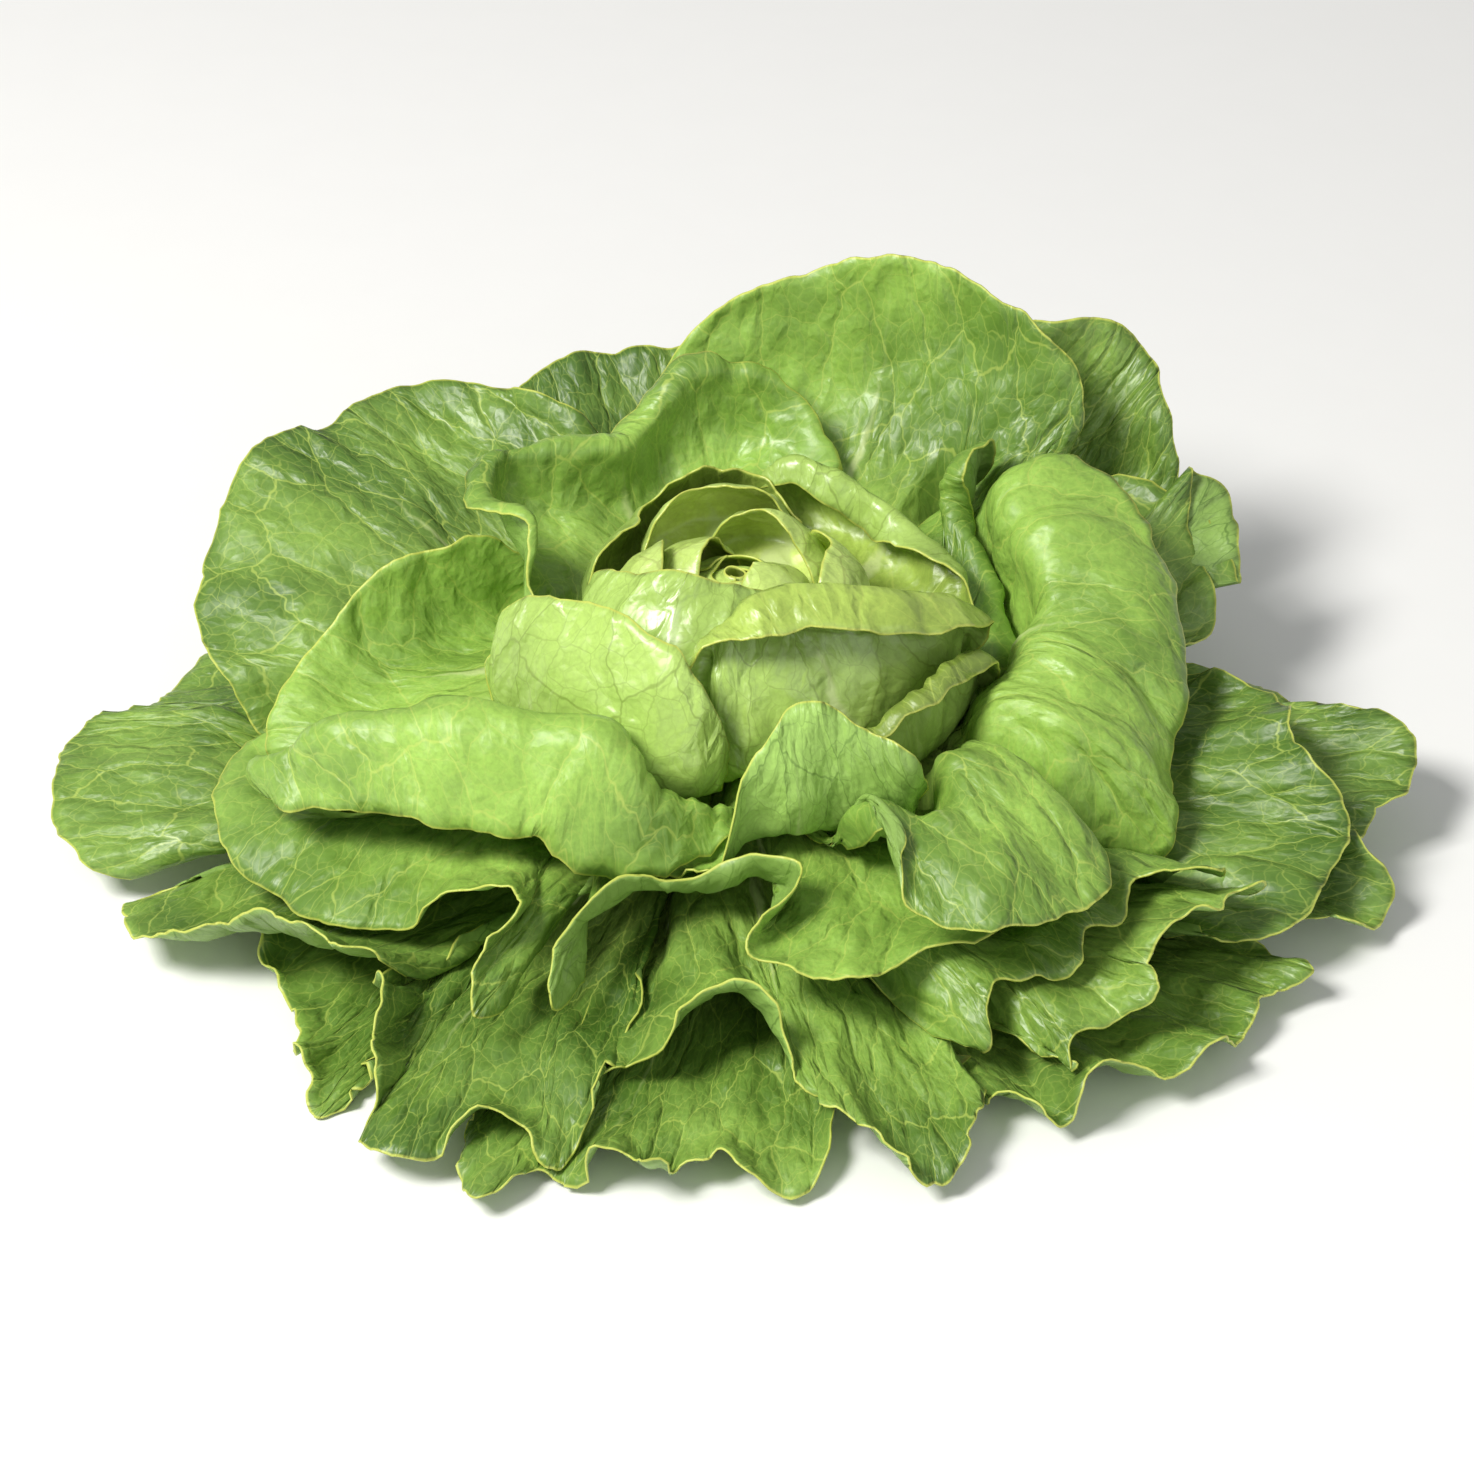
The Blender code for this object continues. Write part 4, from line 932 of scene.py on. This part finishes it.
class LETTUCE_OT_middles(bpy.types.Operator):
    """Make the half open leaves"""
    bl_idname = "lettuce.middles"
    bl_label = "Middle leaves"

    def execute(self, context):
        make_leaves("middle")
        return {'FINISHED'}


class LETTUCE_OT_outers(bpy.types.Operator):
    """Make the spread outer leaves"""
    bl_idname = "lettuce.outers"
    bl_label = "Outer leaves"

    def execute(self, context):
        make_leaves("outer")
        return {'FINISHED'}


# The stage, in metres and degrees: each light's place, aim, size and colour, and the camera
FLOOR_HALF = 6.0
KEY_LIGHT = (-0.72, -0.5, 1.14), (0, 0, 0.04), 0.42, (1.0, 0.985, 0.95)
FILL_LIGHT = (0.7, -0.95, 0.6), (0, 0, 0.03), 0.9, (0.95, 0.98, 1.0)
CAMERA_PLACE, CAMERA_TILT = (0.0, -0.8090, 0.6048), 54
CAMERA_SENSOR, CAMERA_LENS, CAMERA_RANGE = 36.0, 110.16, (0.05, 50.0)


def area_light(name, power, place, aim, size, colour):
    """A square soft light at a place, turned to an aim."""
    data = bpy.data.lights.new(name, 'AREA')
    data.shape, data.size, data.energy, data.color = 'SQUARE', size, power, colour
    lamp = bpy.data.objects.new(name, data)
    lamp.location = place
    away = np.array(place) - np.array(aim)
    lamp.rotation_euler = (math.acos(away[2] / np.linalg.norm(away)), 0,
                           math.atan2(away[1], away[0]) + math.pi / 2)
    bpy.context.scene.collection.objects.link(lamp)


class LETTUCE_OT_stage(bpy.types.Operator):
    """Make the floor, the lights and the camera"""
    bl_idname = "lettuce.stage"
    bl_label = "Stage"

    def execute(self, context):
        scene, stage = context.scene, context.scene.lettuce_stage
        mesh = bpy.data.meshes.new("floor")
        corners = [(x * FLOOR_HALF, y * FLOOR_HALF, 0) for x, y in ((-1, -1), (1, -1), (1, 1), (-1, 1))]
        mesh.from_pydata(corners, [], [(0, 1, 2, 3)])
        floor = bpy.data.objects.new("floor", mesh)
        scene.collection.objects.link(floor)
        mesh.materials.append(floor_paint(tuple(stage.floor)))
        area_light("key_light", stage.key_power, *KEY_LIGHT)
        area_light("fill_light", stage.fill_power, *FILL_LIGHT)
        world = bpy.data.worlds.new("soft_sky")
        world.use_nodes = True
        sky = world.node_tree.nodes["Background"]
        sky.inputs["Color"].default_value = (1, 1, 1, 1)
        sky.inputs["Strength"].default_value = stage.sky
        scene.world = world
        scene.view_settings.view_transform = 'Standard'
        data = bpy.data.cameras.new("camera")
        data.sensor_width, data.lens = CAMERA_SENSOR, CAMERA_LENS
        data.clip_start, data.clip_end = CAMERA_RANGE
        camera = bpy.data.objects.new("camera", data)
        camera.location = CAMERA_PLACE
        camera.rotation_euler = (math.radians(CAMERA_TILT), 0, 0)
        scene.collection.objects.link(camera)
        scene.camera = camera
        return {'FINISHED'}


class LETTUCE_PT_panel(bpy.types.Panel):
    """Pieces of the lettuce and their settings"""
    bl_label = "Butterhead lettuce"
    bl_idname = "LETTUCE_PT_panel"
    bl_space_type = 'VIEW_3D'
    bl_region_type = 'UI'
    bl_category = "Lettuce"

    def draw(self, context):
        for group in GROUPS:
            box = self.layout.box()
            for name in GROUPS[group].__annotations__:
                box.prop(getattr(context.scene, group), name)
        for step in STEPS:
            self.layout.operator(step.bl_idname)


STEPS = (LETTUCE_OT_stage, LETTUCE_OT_stem, LETTUCE_OT_heart, LETTUCE_OT_wrappers, LETTUCE_OT_middles,
         LETTUCE_OT_outers)
GROUPS = {"lettuce_shape": LEAF_PG_shape, "lettuce_colours": LEAF_PG_colours, "lettuce_stage": LEAF_PG_stage}
CLASSES = (*GROUPS.values(), *STEPS, LETTUCE_PT_panel)


def register():
    for each in CLASSES:
        bpy.utils.register_class(each)
    for name, group in GROUPS.items():
        setattr(bpy.types.Scene, name, PointerProperty(type=group))


def unregister():
    for name in GROUPS:
        delattr(bpy.types.Scene, name)
    for each in reversed(CLASSES):
        bpy.utils.unregister_class(each)


def main():
    register()
    for step in STEPS:
        getattr(bpy.ops.lettuce, step.bl_idname.split(".")[1])()
    bpy.context.view_layer.update()
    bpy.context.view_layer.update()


if __name__ == "__main__":
    main()
